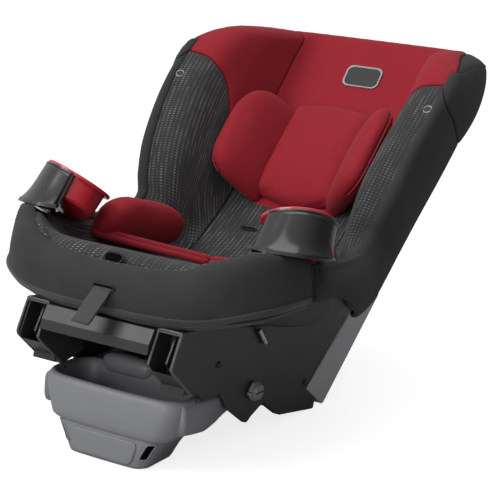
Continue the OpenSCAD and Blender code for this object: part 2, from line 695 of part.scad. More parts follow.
anchor_button(-1);  // anchor_button_right
tether_strap();
tether_hook();
tether_gate();
base_screws();
shell_rod(1);  // shell_rod_left
shell_rod(-1);  // shell_rod_right
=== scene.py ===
# Looks of the convertible child car seat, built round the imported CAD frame. Metres; helper functions work in millimetres.
import bpy, bmesh, math, json
import numpy as np
from mathutils import Vector, Matrix

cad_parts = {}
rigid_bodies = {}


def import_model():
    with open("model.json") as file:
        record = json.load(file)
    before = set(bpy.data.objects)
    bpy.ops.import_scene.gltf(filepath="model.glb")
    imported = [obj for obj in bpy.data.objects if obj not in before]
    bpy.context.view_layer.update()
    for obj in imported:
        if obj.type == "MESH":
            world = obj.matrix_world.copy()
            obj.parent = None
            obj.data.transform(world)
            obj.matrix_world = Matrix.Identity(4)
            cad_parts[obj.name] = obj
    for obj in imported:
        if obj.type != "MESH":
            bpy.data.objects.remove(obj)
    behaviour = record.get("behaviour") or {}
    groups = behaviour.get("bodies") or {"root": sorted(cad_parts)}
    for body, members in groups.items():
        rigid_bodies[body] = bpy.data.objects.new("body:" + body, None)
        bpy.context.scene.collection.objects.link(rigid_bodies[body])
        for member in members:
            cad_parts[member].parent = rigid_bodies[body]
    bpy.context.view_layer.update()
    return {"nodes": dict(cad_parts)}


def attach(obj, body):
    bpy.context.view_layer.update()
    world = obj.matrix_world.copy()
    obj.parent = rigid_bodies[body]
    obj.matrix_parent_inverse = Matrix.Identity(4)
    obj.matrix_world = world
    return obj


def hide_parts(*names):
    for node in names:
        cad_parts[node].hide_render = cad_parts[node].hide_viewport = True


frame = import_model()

scene = bpy.context.scene
NODE = frame["nodes"]

# ------------------------------------------------------------------ materials
def _new(name):
    m = bpy.data.materials.new(name); m.use_nodes = True
    nt = m.node_tree; nt.nodes.clear()
    out = nt.nodes.new("ShaderNodeOutputMaterial"); b = nt.nodes.new("ShaderNodeBsdfPrincipled")
    nt.links.new(b.outputs[0], out.inputs[0])
    return m, nt, b
def _val(nt, sock, v):
    if hasattr(v, "is_output") or isinstance(v, bpy.types.NodeSocket): nt.links.new(v, sock)
    else: sock.default_value = v
def M(nt, op, a, b=None, c=None, clamp=False):
    n = nt.nodes.new("ShaderNodeMath"); n.operation = op; n.use_clamp = clamp
    for i, v in enumerate((a, b, c)):
        if v is not None: _val(nt, n.inputs[i], v)
    return n.outputs[0]
def mixc(nt, f, a, b):
    n = nt.nodes.new("ShaderNodeMix"); n.data_type = "RGBA"
    _val(nt, n.inputs[0], f)
    for i, v in ((6, a), (7, b)):
        if isinstance(v, (tuple, list)): n.inputs[i].default_value = (*v[:3], 1)
        else: nt.links.new(v, n.inputs[i])
    return n.outputs[2]
def noise(nt, vec, scale, detail=2, rough=.5):
    n = nt.nodes.new("ShaderNodeTexNoise"); n.inputs["Scale"].default_value = scale
    n.inputs["Detail"].default_value = detail; n.inputs["Roughness"].default_value = rough
    if vec is not None: nt.links.new(vec, n.inputs["Vector"])
    return n.outputs["Fac"] if "Fac" in n.outputs else n.outputs[0]
def ramp(nt, v, a, b):
    n = nt.nodes.new("ShaderNodeMapRange"); n.inputs[1].default_value = a; n.inputs[2].default_value = b
    n.interpolation_type = "SMOOTHSTEP"; nt.links.new(v, n.inputs[0]); return n.outputs[0]
def bump(nt, h, strength, dist, normal=None):
    n = nt.nodes.new("ShaderNodeBump"); n.inputs["Strength"].default_value = strength
    n.inputs["Distance"].default_value = dist; nt.links.new(h, n.inputs["Height"])
    if normal is not None: nt.links.new(normal, n.inputs["Normal"])
    return n.outputs[0]
def obj_co(nt):
    return nt.nodes.new("ShaderNodeTexCoord").outputs["Object"]
def wave2(nt, vec, pitch, kx=(1, 0, 0), ky=(0, 0, 1)):
    """fine knit: two crossed sine ribs of the given pitch in metres, on object coordinates"""
    outs = []
    for k in (kx, ky):
        d = nt.nodes.new("ShaderNodeVectorMath"); d.operation = "DOT_PRODUCT"
        nt.links.new(vec, d.inputs[0]); d.inputs[1].default_value = k
        outs.append(M(nt, "SINE", M(nt, "MULTIPLY", d.outputs["Value"], 2 * math.pi / pitch)))
    return M(nt, "MULTIPLY", outs[0], outs[1])
def uvs(nt):
    u = nt.nodes.new("ShaderNodeUVMap"); u.uv_map = "mm"
    s = nt.nodes.new("ShaderNodeSeparateXYZ"); nt.links.new(u.outputs[0], s.inputs[0])
    return s.outputs[0], s.outputs[1]
def attr(nt, name):
    a = nt.nodes.new("ShaderNodeAttribute"); a.attribute_name = name; return a.outputs["Fac"]

def fabric(name, base, light, rough=.85, sheen=.35, knit=.0011, seam=True, mott=.5, bstr=.35, tint=(1, 1, 1)):
    m, nt, b = _new(name); co = obj_co(nt)
    big = noise(nt, co, 26, 4, .6); fine = noise(nt, co, 900, 2, .6)
    f = M(nt, "ADD", M(nt, "MULTIPLY", big, mott), M(nt, "MULTIPLY", fine, .5), clamp=True)
    c = mixc(nt, f, base, light)
    # painted shade: the colour darkens within about 3 mm of the seams, standing in for shadow in the seam creases
    if seam:
        s = ramp(nt, attr(nt, "seam"), 0.0, 3.0)
        c = mixc(nt, M(nt, "MULTIPLY_ADD", s, .55, .45, clamp=True), tuple(v * .25 for v in base), c)
    nt.links.new(c, b.inputs["Base Color"])
    b.inputs["Roughness"].default_value = rough
    b.inputs["Sheen Weight"].default_value = sheen; b.inputs["Sheen Roughness"].default_value = .45
    b.inputs["Sheen Tint"].default_value = (*tint, 1)
    b.inputs["Specular IOR Level"].default_value = .14
    w = wave2(nt, co, knit, (.8, .6, 0), (0, .5, .86))
    h = M(nt, "ADD", M(nt, "MULTIPLY", w, .5), M(nt, "MULTIPLY", fine, .7))
    soft = noise(nt, co, 42, 3, .55)
    n1 = bump(nt, soft, .25, .0012); n2 = bump(nt, h, bstr, .0003, n1)
    nt.links.new(n2, b.inputs["Normal"])
    return m

def jacquard(name, base, dash):
    """charcoal knit with columns of short light dashes; UV is in millimetres"""
    m, nt, b = _new(name); co = obj_co(nt); x, y = uvs(nt)
    PX, PY = 6.4, 4.0
    cx = M(nt, "DIVIDE", x, PX); col = M(nt, "FLOOR", cx); fx = M(nt, "SUBTRACT", cx, col)
    cy = M(nt, "ADD", M(nt, "DIVIDE", y, PY), M(nt, "MULTIPLY", col, .5)); row = M(nt, "FLOOR", cy); fy = M(nt, "SUBTRACT", cy, row)
    inx = M(nt, "SUBTRACT", 1, ramp(nt, M(nt, "ABSOLUTE", M(nt, "SUBTRACT", fx, .5)), .20, .29))
    iny = M(nt, "SUBTRACT", 1, ramp(nt, M(nt, "ABSOLUTE", M(nt, "SUBTRACT", fy, .5)), .13, .27))
    wn = nt.nodes.new("ShaderNodeTexWhiteNoise"); wn.noise_dimensions = "1D"; nt.links.new(col, wn.inputs["W"])
    cmb = nt.nodes.new("ShaderNodeCombineXYZ"); nt.links.new(M(nt, "MULTIPLY", col, 3.7), cmb.inputs[0]); nt.links.new(M(nt, "DIVIDE", y, 34.0), cmb.inputs[1])
    fade = ramp(nt, noise(nt, cmb.outputs[0], 1.0, 2, .5), .36, .62)
    cmb2 = nt.nodes.new("ShaderNodeCombineXYZ"); nt.links.new(M(nt, "DIVIDE", x, 60.0), cmb2.inputs[0]); nt.links.new(M(nt, "DIVIDE", y, 60.0), cmb2.inputs[1])
    patch = ramp(nt, noise(nt, cmb2.outputs[0], 1.0, 2, .5), .30, .60)
    st = M(nt, "MULTIPLY", M(nt, "MULTIPLY_ADD", fade, .85, .15), M(nt, "MULTIPLY_ADD", wn.outputs[0], .35, .65))
    st = M(nt, "MULTIPLY", st, M(nt, "MULTIPLY_ADD", patch, .7, .3))
    d = M(nt, "MULTIPLY", M(nt, "MULTIPLY", inx, iny), st)
    fine = noise(nt, co, 800, 2, .6); big = noise(nt, co, 22, 3, .6)
    c0 = mixc(nt, M(nt, "ADD", M(nt, "MULTIPLY", fine, .5), M(nt, "MULTIPLY", big, .5)), base, tuple(v * 1.9 for v in base))
    # darker channels between the columns
    chn = ramp(nt, M(nt, "ABSOLUTE", M(nt, "SUBTRACT", fx, .5)), .36, .5)
    c1 = mixc(nt, M(nt, "MULTIPLY", chn, .22), c0, tuple(v * .55 for v in base))
    c = mixc(nt, M(nt, "MULTIPLY", d, .95), c1, dash)
    # painted shade: the colour darkens within about 3 mm of the seams, standing in for shadow in the seam creases
    s = ramp(nt, attr(nt, "seam"), 0.0, 3.0)
    c = mixc(nt, M(nt, "MULTIPLY_ADD", s, .6, .4, clamp=True), tuple(v * .2 for v in base), c)
    nt.links.new(c, b.inputs["Base Color"])
    b.inputs["Roughness"].default_value = .85; b.inputs["Sheen Weight"].default_value = .06
    b.inputs["Specular IOR Level"].default_value = .25
    h = M(nt, "ADD", M(nt, "MULTIPLY", M(nt, "MULTIPLY", inx, iny), .8), M(nt, "ADD", M(nt, "MULTIPLY", fine, .4), M(nt, "MULTIPLY", M(nt, "SUBTRACT", 1, chn), .4)))
    n1 = bump(nt, noise(nt, co, 42, 3, .55), .22, .0012); nt.links.new(bump(nt, h, .45, .0004, n1), b.inputs["Normal"])
    return m

def plastic(name, base, rough=.42, grain=.25, coat=0., edge=.25, var=.12, gscale=1400, spec=.5, bev=.0012):
    m, nt, b = _new(name); co = obj_co(nt)
    big = noise(nt, co, 14, 4, .6); fine = noise(nt, co, gscale, 2, .55)
    c = mixc(nt, big, tuple(v * (1 - var) for v in base), tuple(v * (1 + var) for v in base))
    bv = nt.nodes.new("ShaderNodeBevel"); bv.samples = 4; bv.inputs["Radius"].default_value = bev
    geo = nt.nodes.new("ShaderNodeNewGeometry")
    dt = nt.nodes.new("ShaderNodeVectorMath"); dt.operation = "DOT_PRODUCT"; nt.links.new(bv.outputs[0], dt.inputs[0]); nt.links.new(geo.outputs["Normal"], dt.inputs[1])
    # lighter edge colour, partly wear and partly painted highlight: marked where the bevel normal departs from the face
    # normal, broken up by noise
    e = ramp(nt, M(nt, "SUBTRACT", 1, dt.outputs["Value"]), .01, .25)
    edge_wear_and_highlight_noise = ramp(nt, noise(nt, co, 60, 5, .7), .45, .7)
    c = mixc(nt, M(nt, "MULTIPLY", M(nt, "MULTIPLY", e, edge_wear_and_highlight_noise), edge), c, tuple(min(1, v * 2.2 + .03) for v in base))
    nt.links.new(c, b.inputs["Base Color"])
    nt.links.new(M(nt, "MULTIPLY_ADD", noise(nt, co, 32, 4, .6), .16, rough - .08), b.inputs["Roughness"])
    b.inputs["Coat Weight"].default_value = coat; b.inputs["Coat Roughness"].default_value = .12
    b.inputs["Specular IOR Level"].default_value = spec
    nt.links.new(bump(nt, fine, grain, .00012, bv.outputs[0]), b.inputs["Normal"])
    return m

def metal(name, base, rough=.28):
    m, nt, b = _new(name); co = obj_co(nt)
    mp = nt.nodes.new("ShaderNodeMapping"); mp.inputs["Scale"].default_value = (40, 1400, 900); nt.links.new(co, mp.inputs[0])
    st = noise(nt, mp.outputs[0], 1.0, 3, .6)
    nt.links.new(mixc(nt, st, tuple(v * .8 for v in base), base), b.inputs["Base Color"])
    b.inputs["Metallic"].default_value = 1
    nt.links.new(M(nt, "MULTIPLY_ADD", st, .2, rough - .1), b.inputs["Roughness"])
    nt.links.new(bump(nt, st, .15, .0001), b.inputs["Normal"])
    return m

def webbing(name, base):
    m, nt, b = _new(name); co = obj_co(nt); x, y = uvs(nt)
    a = M(nt, "SINE", M(nt, "MULTIPLY", M(nt, "ADD", y, M(nt, "MULTIPLY", M(nt, "ABSOLUTE", M(nt, "SUBTRACT", M(nt, "FRACT", M(nt, "DIVIDE", x, 6.0)), .5)), 6.0)), 2 * math.pi / 1.7))
    r = M(nt, "SINE", M(nt, "MULTIPLY", x, 2 * math.pi / 1.2))
    h = M(nt, "ADD", a, M(nt, "MULTIPLY", r, .5))
    c = mixc(nt, M(nt, "MULTIPLY_ADD", a, .3, .5, clamp=True), tuple(v * .7 for v in base), tuple(v * 1.7 for v in base))
    nt.links.new(c, b.inputs["Base Color"]); b.inputs["Roughness"].default_value = .6
    b.inputs["Sheen Weight"].default_value = .15
    nt.links.new(bump(nt, h, .5, .0003), b.inputs["Normal"])
    return m

MAT = {
 "charcoal": fabric("fabric_charcoal", (.0195, .0195, .020), (.044, .044, .045), sheen=.06, mott=.7, bstr=.6),
 "crimson": fabric("fabric_crimson", (.215, .0105, .0175), (.295, .0165, .026), rough=.8, sheen=.08, knit=.0009, mott=.45, bstr=.22, tint=(1, .6, .65)),
 "crimson_pipe": fabric("fabric_crimson_piping", (.20, .010, .017), (.27, .016, .025), rough=.75, sheen=.08, seam=False, bstr=.3),
 "dark_pipe": fabric("fabric_charcoal_piping", (.014, .014, .0145), (.027, .027, .028), rough=.75, sheen=.08, seam=False, bstr=.3),
 "thread": fabric("thread_charcoal", (.035, .035, .036), (.07, .07, .072), rough=.6, sheen=.1, seam=False, bstr=.2),
 "thread_red": fabric("thread_crimson", (.20, .012, .02), (.27, .02, .03), rough=.6, sheen=.1, seam=False, bstr=.2),
 "jacquard": jacquard("fabric_jacquard", (.0185, .0185, .019), (.19, .19, .195)),
 "black": plastic("plastic_black", (.0215, .0217, .0222), .38, .25, .0, .35, spec=.4),
 "shell": plastic("plastic_shell", (.017, .017, .018), .48, .4, .0, .3, gscale=900),
 "gloss": plastic("plastic_gloss_black", (.008, .008, .009), .20, .06, .35, .2, var=.05, spec=.6),
 "glossred": plastic("plastic_gloss_crimson", (.52, .022, .038), .20, .05, .4, .1, var=.05),
 "grey_trim": plastic("plastic_grey_trim", (.42, .423, .435), .46),
 # painted highlight: a lighter black than plastic_black, so the rims read as bright thin edges; the lower roughness
 # gives real gloss
 "rim": plastic("plastic_black_rim_painted_highlight", (.060, .060, .062), .30, .1, .0, .2, spec=.6),
 "grey": plastic("plastic_grey", (.180, .183, .196), .46, .3, .0, .4, var=.05),
 "steel": metal("steel_zinc", (.62, .62, .63)),
 "webbing": webbing("webbing_black", (.020, .020, .021)),
 "badge": plastic("badge_woven", (.013, .0133, .0142), .6, .5, .0, .1, gscale=1800),
 "badge_rim": plastic("badge_rim", (.33, .33, .34), .5, .5, .0, .1, gscale=1800),
 "red_button": plastic("button_red", (.45, .012, .012), .35, .1, .2, .2),
 # painted shade: near-black matte sheets put in slot mouths and foot pockets where the recess would be in shadow
 "dark": plastic("recess_painted_shade", (.003, .003, .003), .95, .1, .0, .0, spec=.02),
}

# ------------------------------------------------------------------ seat surfaces (mm)
STN = np.array([
 [-298,248,112,-296,262,-300,214,118,1],[-278,256,142,-270,272,-280,196,150,1],[-240,246,166,-235,273,-240,182,182,1],
 [-180,212,176,-180,257,-180,168,189,1],[-110,192,178,-115,241,-110,154,201,1],[-40,184,178,-40,238,-40,146,202,1],
 [25,182,176,12,244,35,145,196,.8],[75,197,174,38,260,92,160,194,.5],[130,227,181,46,286,154,191,198,.2],
 [190,268,190,66,326,218,234,205,0],[248,314,197,96,370,280,282,211,0],[304,365,203,130,408,340,335,216,0],
 [350,408,206,166,442,388,384,219,0],[383,445,206,198,466,418,428,217,0],[405,472,203,232,482,428,462,211,0]], float)
IN_W = np.array([[0,0],[.17,0],[.34,.005],[.48,.04],[.57,.16],[.64,.42],[.70,.68],[.80,.93],[1,1]])
IN_S = np.array([[0,0],[.2,0],[.4,0],[.58,.02],[.73,.1],[.83,.3],[.885,.55],[.93,.8],[1,1]])
OUT_W = np.array([[0,0],[.2,.005],[.4,.02],[.6,.08],[.78,.2],[.91,.37],[.975,.56],[1,.78],[.985,.99]])
OUT_S = np.array([[0,0],[.22,0],[.45,0],[.68,.02],[.88,.1],[.98,.3],[1,.55],[.99,.82],[.93,1]])
def crm(T, u):
    u = np.asarray(u, float); n = len(T) - 1
    i = np.clip(np.floor(u), 0, n - 1).astype(int); f = (u - i)[..., None]
    g = lambda k: T[np.clip(i + k, 0, n)]
    a, b, c, d = g(-1), g(0), g(1), g(2)
    return .5 * (2*b + (c-a)*f + (2*a - 5*b + 4*c - d)*f*f + (3*b - a - 3*c + d)*f**3)
def _S(u, t, A, B, cy, cz, xh):
    u, t = np.broadcast_arrays(np.asarray(u, float), np.asarray(t, float))
    r = crm(STN, np.clip(u, 0, 14)); m = r[..., 8:9]; a = np.clip(np.abs(t), 0, 1) * 8
    q = crm(A, a) * (1 - m) + crm(B, a) * m
    s = np.where(t < 0, -1., 1.)
    return np.stack([s*q[..., 0]*r[..., xh], r[..., cy] + (r[..., 3]-r[..., cy])*q[..., 1], r[..., cz] + (r[..., 4]-r[..., cz])*q[..., 1]], -1)
def S_in(u, t): return _S(u, t, IN_W, IN_S, 0, 1, 2)
def S_out(u, t): return _S(u, t, OUT_W, OUT_S, 5, 6, 7)
ARM = np.array([[-330,292],[-262,287],[-215,279],[-165,268.5],[-110,253],[-60,246],[0,246],[60,246]], float)
CUPC = np.array([162., -149., 305.]); CAX = np.array([-.0488, .6, .7985])
def _side(u, t):
    """surface round the whole seat: |t|<=1 inside, 1..1.2 over the front edge, beyond that down the outside"""
    u, t = np.broadcast_arrays(np.asarray(u, float), np.asarray(t, float))
    a = np.abs(t); s = np.where(t < 0, -1., 1.)
    k = np.clip((a - 1) / .2, 0, 1)[..., None]
    Pi = S_in(u, s * np.clip(a, 0, 1)); Po = S_out(u, s * np.clip(1 - (a - 1.2), 0, 1))
    e1 = S_in(u, s * 1.); c1 = S_in(u, s * .8)
    fwd = e1 - c1; fwd[..., 0] = 0; fwd = fwd / np.maximum(np.linalg.norm(fwd, axis=-1, keepdims=True), 1e-6)
    h = np.interp(u, [0, 2, 3, 4, 5, 6, 7, 9, 14], [5, 6, 8, 8, 5, 3, 5, 6, 6])[..., None]
    bulge = fwd * h * np.sin(np.pi * k) ** .8
    mid = e1 * (1 - k) + Po * k + bulge
    return np.where((a <= 1)[..., None], Pi, np.where((a >= 1.2)[..., None], Po, mid))
def G(u, t):
    """the same, closed over the top of the back for u > 14"""
    u, t = np.broadcast_arrays(np.asarray(u, float), np.asarray(t, float))
    k = np.clip((u - 14) / .6, 0, 1)[..., None]
    ae = np.where(np.abs(t) <= 1, np.abs(t), np.where(np.abs(t) < 1.2, 1., 1.2 - np.minimum(np.abs(t), 2.2) + 1))
    dr = np.clip((ae - .80) / .20, 0, 1) ** 2 * .85
    lower = lambda v: v - dr * np.clip((v - 12.6) / 1.4, 0, 1) ** 2
    P = _side(lower(np.minimum(u, 14)), t)
    s = np.where(t < 0, -1., 1.); a = np.clip(np.abs(t), 0, 1.0)
    Q = S_out(lower(14 - np.maximum(0, u - 14.6)), s * np.clip(a, 0, 1))
    up = np.zeros_like(P); up[..., 2] = 1; up[..., 1] = .25
    fade = (1 - np.clip((ae - .62) / .38, 0, 1) ** 2)[..., None]
    R = P * (1 - k) + Q * k + up * (1.5 + 10.5*fade) * (np.sin(np.pi * k) ** .75)
    return np.where((u > 14)[..., None], R, P)
UB = np.array([[0,10.35],[.5,10.35],[.66,10.3],[.70,10.5],[.712,10.72],[.755,11.2],[.812,11.7],[.905,12.26],[.95,12.36],[1,12.42],[1.3,12.42]])
def ub(t): return np.interp(np.abs(t), UB[:, 0], UB[:, 1])

# ------------------------------------------------------------------ mesh helpers
def make(name, V, F, mat, body="seat", uv=None, attrs=None, smooth=True, mats=None, mi=None, ride=True):
    me = bpy.data.meshes.new(name)
    me.from_pydata([tuple(v) for v in (np.asarray(V, float) / 1000)], [], [tuple(int(i) for i in f) for f in F])
    me.update()
    for m in (mats or [mat]): me.materials.append(MAT[m])
    if mi is not None: me.polygons.foreach_set("material_index", np.asarray(mi, np.int32))
    if uv is not None:
        l = me.uv_layers.new(name="mm"); idx = np.zeros(len(me.loops), np.int32); me.loops.foreach_get("vertex_index", idx)
        l.data.foreach_set("uv", np.asarray(uv, np.float32)[idx].ravel())
    for k, v in (attrs or {}).items():
        a = me.attributes.new(k, "FLOAT", "POINT"); a.data.foreach_set("value", np.asarray(v, np.float32))
    me.polygons.foreach_set("use_smooth", [smooth] * len(me.polygons))
    bm = bmesh.new(); bm.from_mesh(me); bmesh.ops.recalc_face_normals(bm, faces=bm.faces); bm.to_mesh(me); bm.free()
    o = bpy.data.objects.new(name, me); scene.collection.objects.link(o)
    if ride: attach(o, body)
    return o
BD = np.array([0, .7, 1.6, 2.8, 4.4, 6.4])
def spaced(L, step, M_=None):
    if L < 26:
        n = max(4, int(round(L / 2.2))); return np.linspace(0, L, n + 1)
    n = M_ if M_ is not None else max(2, int(math.ceil((L - 2*BD[-1]) / step)))
    return np.concatenate([BD[:-1], np.linspace(BD[-1], L - BD[-1], n + 1), (L - BD[:-1])[::-1]])
def grid_normals(P):
    da = np.gradient(P, axis=0); db = np.gradient(P, axis=1); n = np.cross(db, da)
    return n / np.maximum(np.linalg.norm(n, axis=-1, keepdims=True), 1e-9)
def closed_grid(T, B):
    """faces joining a top grid and a bottom grid of the same size into one closed skin"""
    n, m = T.shape[:2]; I = np.arange(n*m).reshape(n, m); J = I + n*m; F = []
    for g, f in ((I, 0), (J, 1)):
        a = np.stack([g[:-1, :-1], g[:-1, 1:], g[1:, 1:], g[1:, :-1]], -1).reshape(-1, 4)
        F.append(a if not f else a[:, ::-1])
    def band(x, y): return np.stack([x[:-1], x[1:], y[1:], y[:-1]], -1)
    F.append(band(I[0], J[0])[:, ::-1]); F.append(band(I[-1], J[-1])); F.append(band(I[:, 0], J[:, 0])); F.append(band(I[:, -1], J[:, -1])[:, ::-1])
    return np.concatenate([T.reshape(-1, 3), B.reshape(-1, 3)]), np.concatenate(F)
def resample(fun, step, amin=0, amax=1, nb=None):
    """grid on fun(a, b) with even spacing and close rows by the borders"""
    fa = np.linspace(0, 1, 121); A, Bq = np.meshgrid(fa, fa, indexing="ij"); P = fun(A, Bq)
    La = np.linalg.norm(np.diff(P, axis=0), axis=-1).cumsum(0); La = np.vstack([np.zeros((1, P.shape[1])), La])
    mean = La.mean(1); Ltot = mean[-1]
    apos = np.interp(spaced(Ltot, step), mean, fa)
    rows = []; ds = []
    Lr = np.linalg.norm(np.diff(P, axis=1), axis=-1).sum(1); mx = Lr.max(); Mn = max(2, int(math.ceil((mx - 2*BD[-1]) / step)))
    for a in apos:
        R = fun(np.full(241, a), np.linspace(0, 1, 241)); s = np.concatenate([[0], np.linalg.norm(np.diff(R, axis=0), axis=-1).cumsum()])
        L = s[-1]
        if mx < 26: d = np.linspace(0, L, max(4, int(round(mx / 2.2))) + 1)
        else:
            bd = BD * min(1, L / 30.)
            d = np.concatenate([bd[:-1], np.linspace(bd[-1], L - bd[-1], Mn + 1), (L - bd[:-1])[::-1]])
        bb = np.interp(d, s, np.linspace(0, 1, 241)); rows.append(fun(np.full(len(bb), a), bb)); ds.append(np.stack([d, L - d], -1))
    P = np.stack(rows); D = np.stack(ds)
    La = np.vstack([np.zeros((1, P.shape[1])), np.linalg.norm(np.diff(P, axis=0), axis=-1).cumsum(0)])
    return P, D[..., 0], D[..., 1], La, La[-1:] - La
def panel(name, fun, mat, step=6, H=3.2, r=4.2, under=2.4, rolled="abcd", crown=0, uvref=.5, body="seat", warp=None, lift=0, wr=0, seed=0):
    """padded fabric panel: rolled into its seams at the borders named by rolled (a,b = first/last row, c,d = first/last column)"""
    P, dc, dd, da, db = resample(fun, step)
    N = grid_normals(P)
    d = np.full(P.shape[:2], 1e3)
    for k, v in (("a", da), ("b", db), ("c", dc), ("d", dd)):
        if k in rolled: d = np.minimum(d, v)
    q = 1 - np.clip(d / r, 0, 1); h = H * np.sqrt(np.maximum(0, 1 - q*q)) + lift
    if crown:
        La = (da + db); Lc = (dc + dd)
        h = h + crown * (4 * da * db / np.maximum(La, 1)**2) ** .6 * (4 * dc * dd / np.maximum(Lc, 1)**2) ** .6
    if wr:
        # soft puckers that run out from the seams
        ph = (dc if "c" in rolled else da) * 0 + np.sin(da * .31 + seed) * np.exp(-np.minimum(dc, dd) / 9.) + np.sin(dc * .27 + seed * 2) * np.exp(-np.minimum(da, db) / 9.)
        h = h + wr * ph * np.clip(d / 4, 0, 1)
    T = P + N * h[..., None]; Bm = P - N * under
    if warp is not None: T, Bm = warp(T, Bm)
    V, F = closed_grid(T, Bm)
    j = int(round(uvref * (P.shape[1] - 1)))
    ux = dc - dc[:, j:j+1]; vy = np.repeat(da[:, j:j+1], P.shape[1], 1)
    uv = np.stack([ux, vy], -1).reshape(-1, 2); uv = np.concatenate([uv, uv])
    # seam holds the distance to the rolled borders; the fabric shaders turn it into painted shade in the seam creases
    sm = np.concatenate([np.minimum(d, 50).ravel(), np.zeros(d.size)])
    o = make(name, V, F, mat, body, uv, {"seam": sm})
    return o
def tube(name, pts, r, mat, body="seat", n=10, closed=False, squash_=1.0, taper=False, step=None):
    """round cord along a path (mm)"""
    P = np.asarray(pts, float)
    s = np.concatenate([[0], np.linalg.norm(np.diff(P, axis=0), axis=-1).cumsum()])
    m = max(3, int(s[-1] / (step or max(2.5, r * 1.2))))
    q = np.linspace(0, s[-1], m + 1); P = np.stack([np.interp(q, s, P[:, k]) for k in range(3)], -1)
    if m > 6:
        for _ in range(3): P[1:-1] = .25*P[:-2] + .5*P[1:-1] + .25*P[2:]
    T = np.gradient(P, axis=0); T /= np.maximum(np.linalg.norm(T, axis=1, keepdims=True), 1e-9)
    ref = np.array([0, 0, 1.]) if abs(T[0, 2]) < .8 else np.array([1., 0, 0]); fr = []
    x = np.cross(ref, T[0]); x /= np.linalg.norm(x)
    for t in T:
        x = x - t * (x @ t); x /= np.linalg.norm(x); fr.append((x, np.cross(t, x)))
    V = []; F = []; a = np.linspace(0, 2*np.pi, n, endpoint=False)
    R = np.full(len(P), r, float)
    for i, (p, (x, y)) in enumerate(zip(P, fr)):
        V.append(p + R[i] * (np.cos(a)[:, None]*x + np.sin(a)[:, None]*y*squash_))
    V = np.concatenate(V); m1 = len(P)
    for i in range(m1 - 1):
        for j in range(n): F.append((i*n+j, i*n+(j+1) % n, (i+1)*n+(j+1) % n, (i+1)*n+j))
    # domed ends
    for e, i, sg in ((0, 0, -1), (1, m1-1, 1)):
        k = len(V); V = np.vstack([V, P[i] + sg*T[i]*R[i]*.7 + 0, ]);
        for j in range(n):
            F.append((i*n+j, i*n+(j+1) % n, k) if e else (i*n+(j+1) % n, i*n+j, k))
    return make(name, V, F, mat, body, np.zeros((len(V), 2)), {"seam": np.full(len(V), 50.)})
def stitches(name, pts, mat="thread", L=3.0, gap=2.2, r=.42, body="seat"):
    """row of short raised thread stitches along a path (mm)"""
    P = np.asarray(pts, float); s = np.concatenate([[0], np.linalg.norm(np.diff(P, axis=0), axis=-1).cumsum()])
    V = []; F = []; q = 0.
    while q + L < s[-1]:
        a = np.array([np.interp(q, s, P[:, k]) for k in range(3)]); b = np.array([np.interp(q + L, s, P[:, k]) for k in range(3)])
        t = (b - a) / max(1e-6, np.linalg.norm(b - a)); x = np.cross(t, [.3, .2, .93]); x /= np.linalg.norm(x); y = np.cross(t, x); k = len(V)
        rings = [(a, .35), (a + t*.5, 1), ((a+b)/2, 1.15), (b - t*.5, 1), (b, .35)]
        for c, w in rings:
            for i in range(5): V.append(c + r*w*(math.cos(i*1.2566)*x + math.sin(i*1.2566)*y))
        for g in range(4):
            for i in range(5): F.append((k+g*5+i, k+g*5+(i+1) % 5, k+(g+1)*5+(i+1) % 5, k+(g+1)*5+i))
        F.append(tuple(k + i for i in range(4, -1, -1))); F.append(tuple(k + 20 + i for i in range(5)))
        q += L + gap
    return make(name, np.array(V), F, mat, body, np.zeros((len(V), 2)), {"seam": np.full(len(V), 50.)})
def surf_path(us, ts, d=0.):
    """points on the seat surface, d mm off it"""
    us = np.asarray(us, float); ts = np.asarray(ts, float)
    e = 1e-2
    P = G(us, ts); n = np.cross(G(us, ts + e) - G(us, ts - e), G(us + e, ts) - G(us - e, ts))
    n /= np.maximum(np.linalg.norm(n, axis=-1, keepdims=True), 1e-9)
    return P + n * d
def mirror(P): P = np.array(P, float); P[..., 0] *= -1; return P

def cloth(o, pressure=4.0, cap=8.0, vox=5.0, frames=20, pin=None, sub=1):
    """inflates a padded piece with a short cloth simulation and leaves it as plain mesh"""
    bpy.context.view_layer.objects.active = o
    for x in bpy.data.objects: x.select_set(False)
    o.select_set(True)
    rm = o.modifiers.new("r", "REMESH"); rm.mode = "VOXEL"; rm.voxel_size = vox / 1000
    bpy.ops.object.modifier_apply(modifier="r")
    r0 = np.array([v.co for v in o.data.vertices])
    c = o.modifiers.new("c", "CLOTH"); st = c.settings
    st.quality = 5; st.mass = .2; st.use_pressure = True; st.uniform_pressure_force = pressure
    st.effector_weights.gravity = 0; st.tension_stiffness = 25; st.compression_stiffness = 18; st.bending_stiffness = .6
    c.collision_settings.use_collision = False
    scene.frame_start = 1; scene.frame_end = frames
    c.point_cache.frame_start = 1; c.point_cache.frame_end = frames
    for f in range(1, frames + 1): scene.frame_set(f)
    dg = bpy.context.evaluated_depsgraph_get(); ev = o.evaluated_get(dg); m = ev.to_mesh()
    r1 = np.array([v.co for v in m.vertices]); ev.to_mesh_clear()
    o.modifiers.remove(c); scene.frame_set(1)
    d = r1 - r0; L = np.linalg.norm(d, axis=1, keepdims=True); lim = cap / 1000
    d = d * np.minimum(1, lim / np.maximum(L, 1e-9)); r2 = r0 + d
    o.data.vertices.foreach_set("co", r2.ravel()); o.data.update()
    return o
def finish_soft(o, it=4, sub=1, factor=.5):
    bpy.context.view_layer.objects.active = o
    s = o.modifiers.new("s", "SMOOTH"); s.iterations = it; s.factor = factor
    bpy.ops.object.modifier_apply(modifier="s")
    if sub:
        s = o.modifiers.new("ss", "SUBSURF"); s.levels = sub; s.render_levels = sub
        bpy.ops.object.modifier_apply(modifier="ss")
    o.data.polygons.foreach_set("use_smooth", [True] * len(o.data.polygons))
    if "seam" in o.data.attributes: o.data.attributes.remove(o.data.attributes["seam"])
    a = o.data.attributes.new("seam", "FLOAT", "POINT"); a.data.foreach_set("value", np.full(len(o.data.vertices), 50., np.float32))
    return o
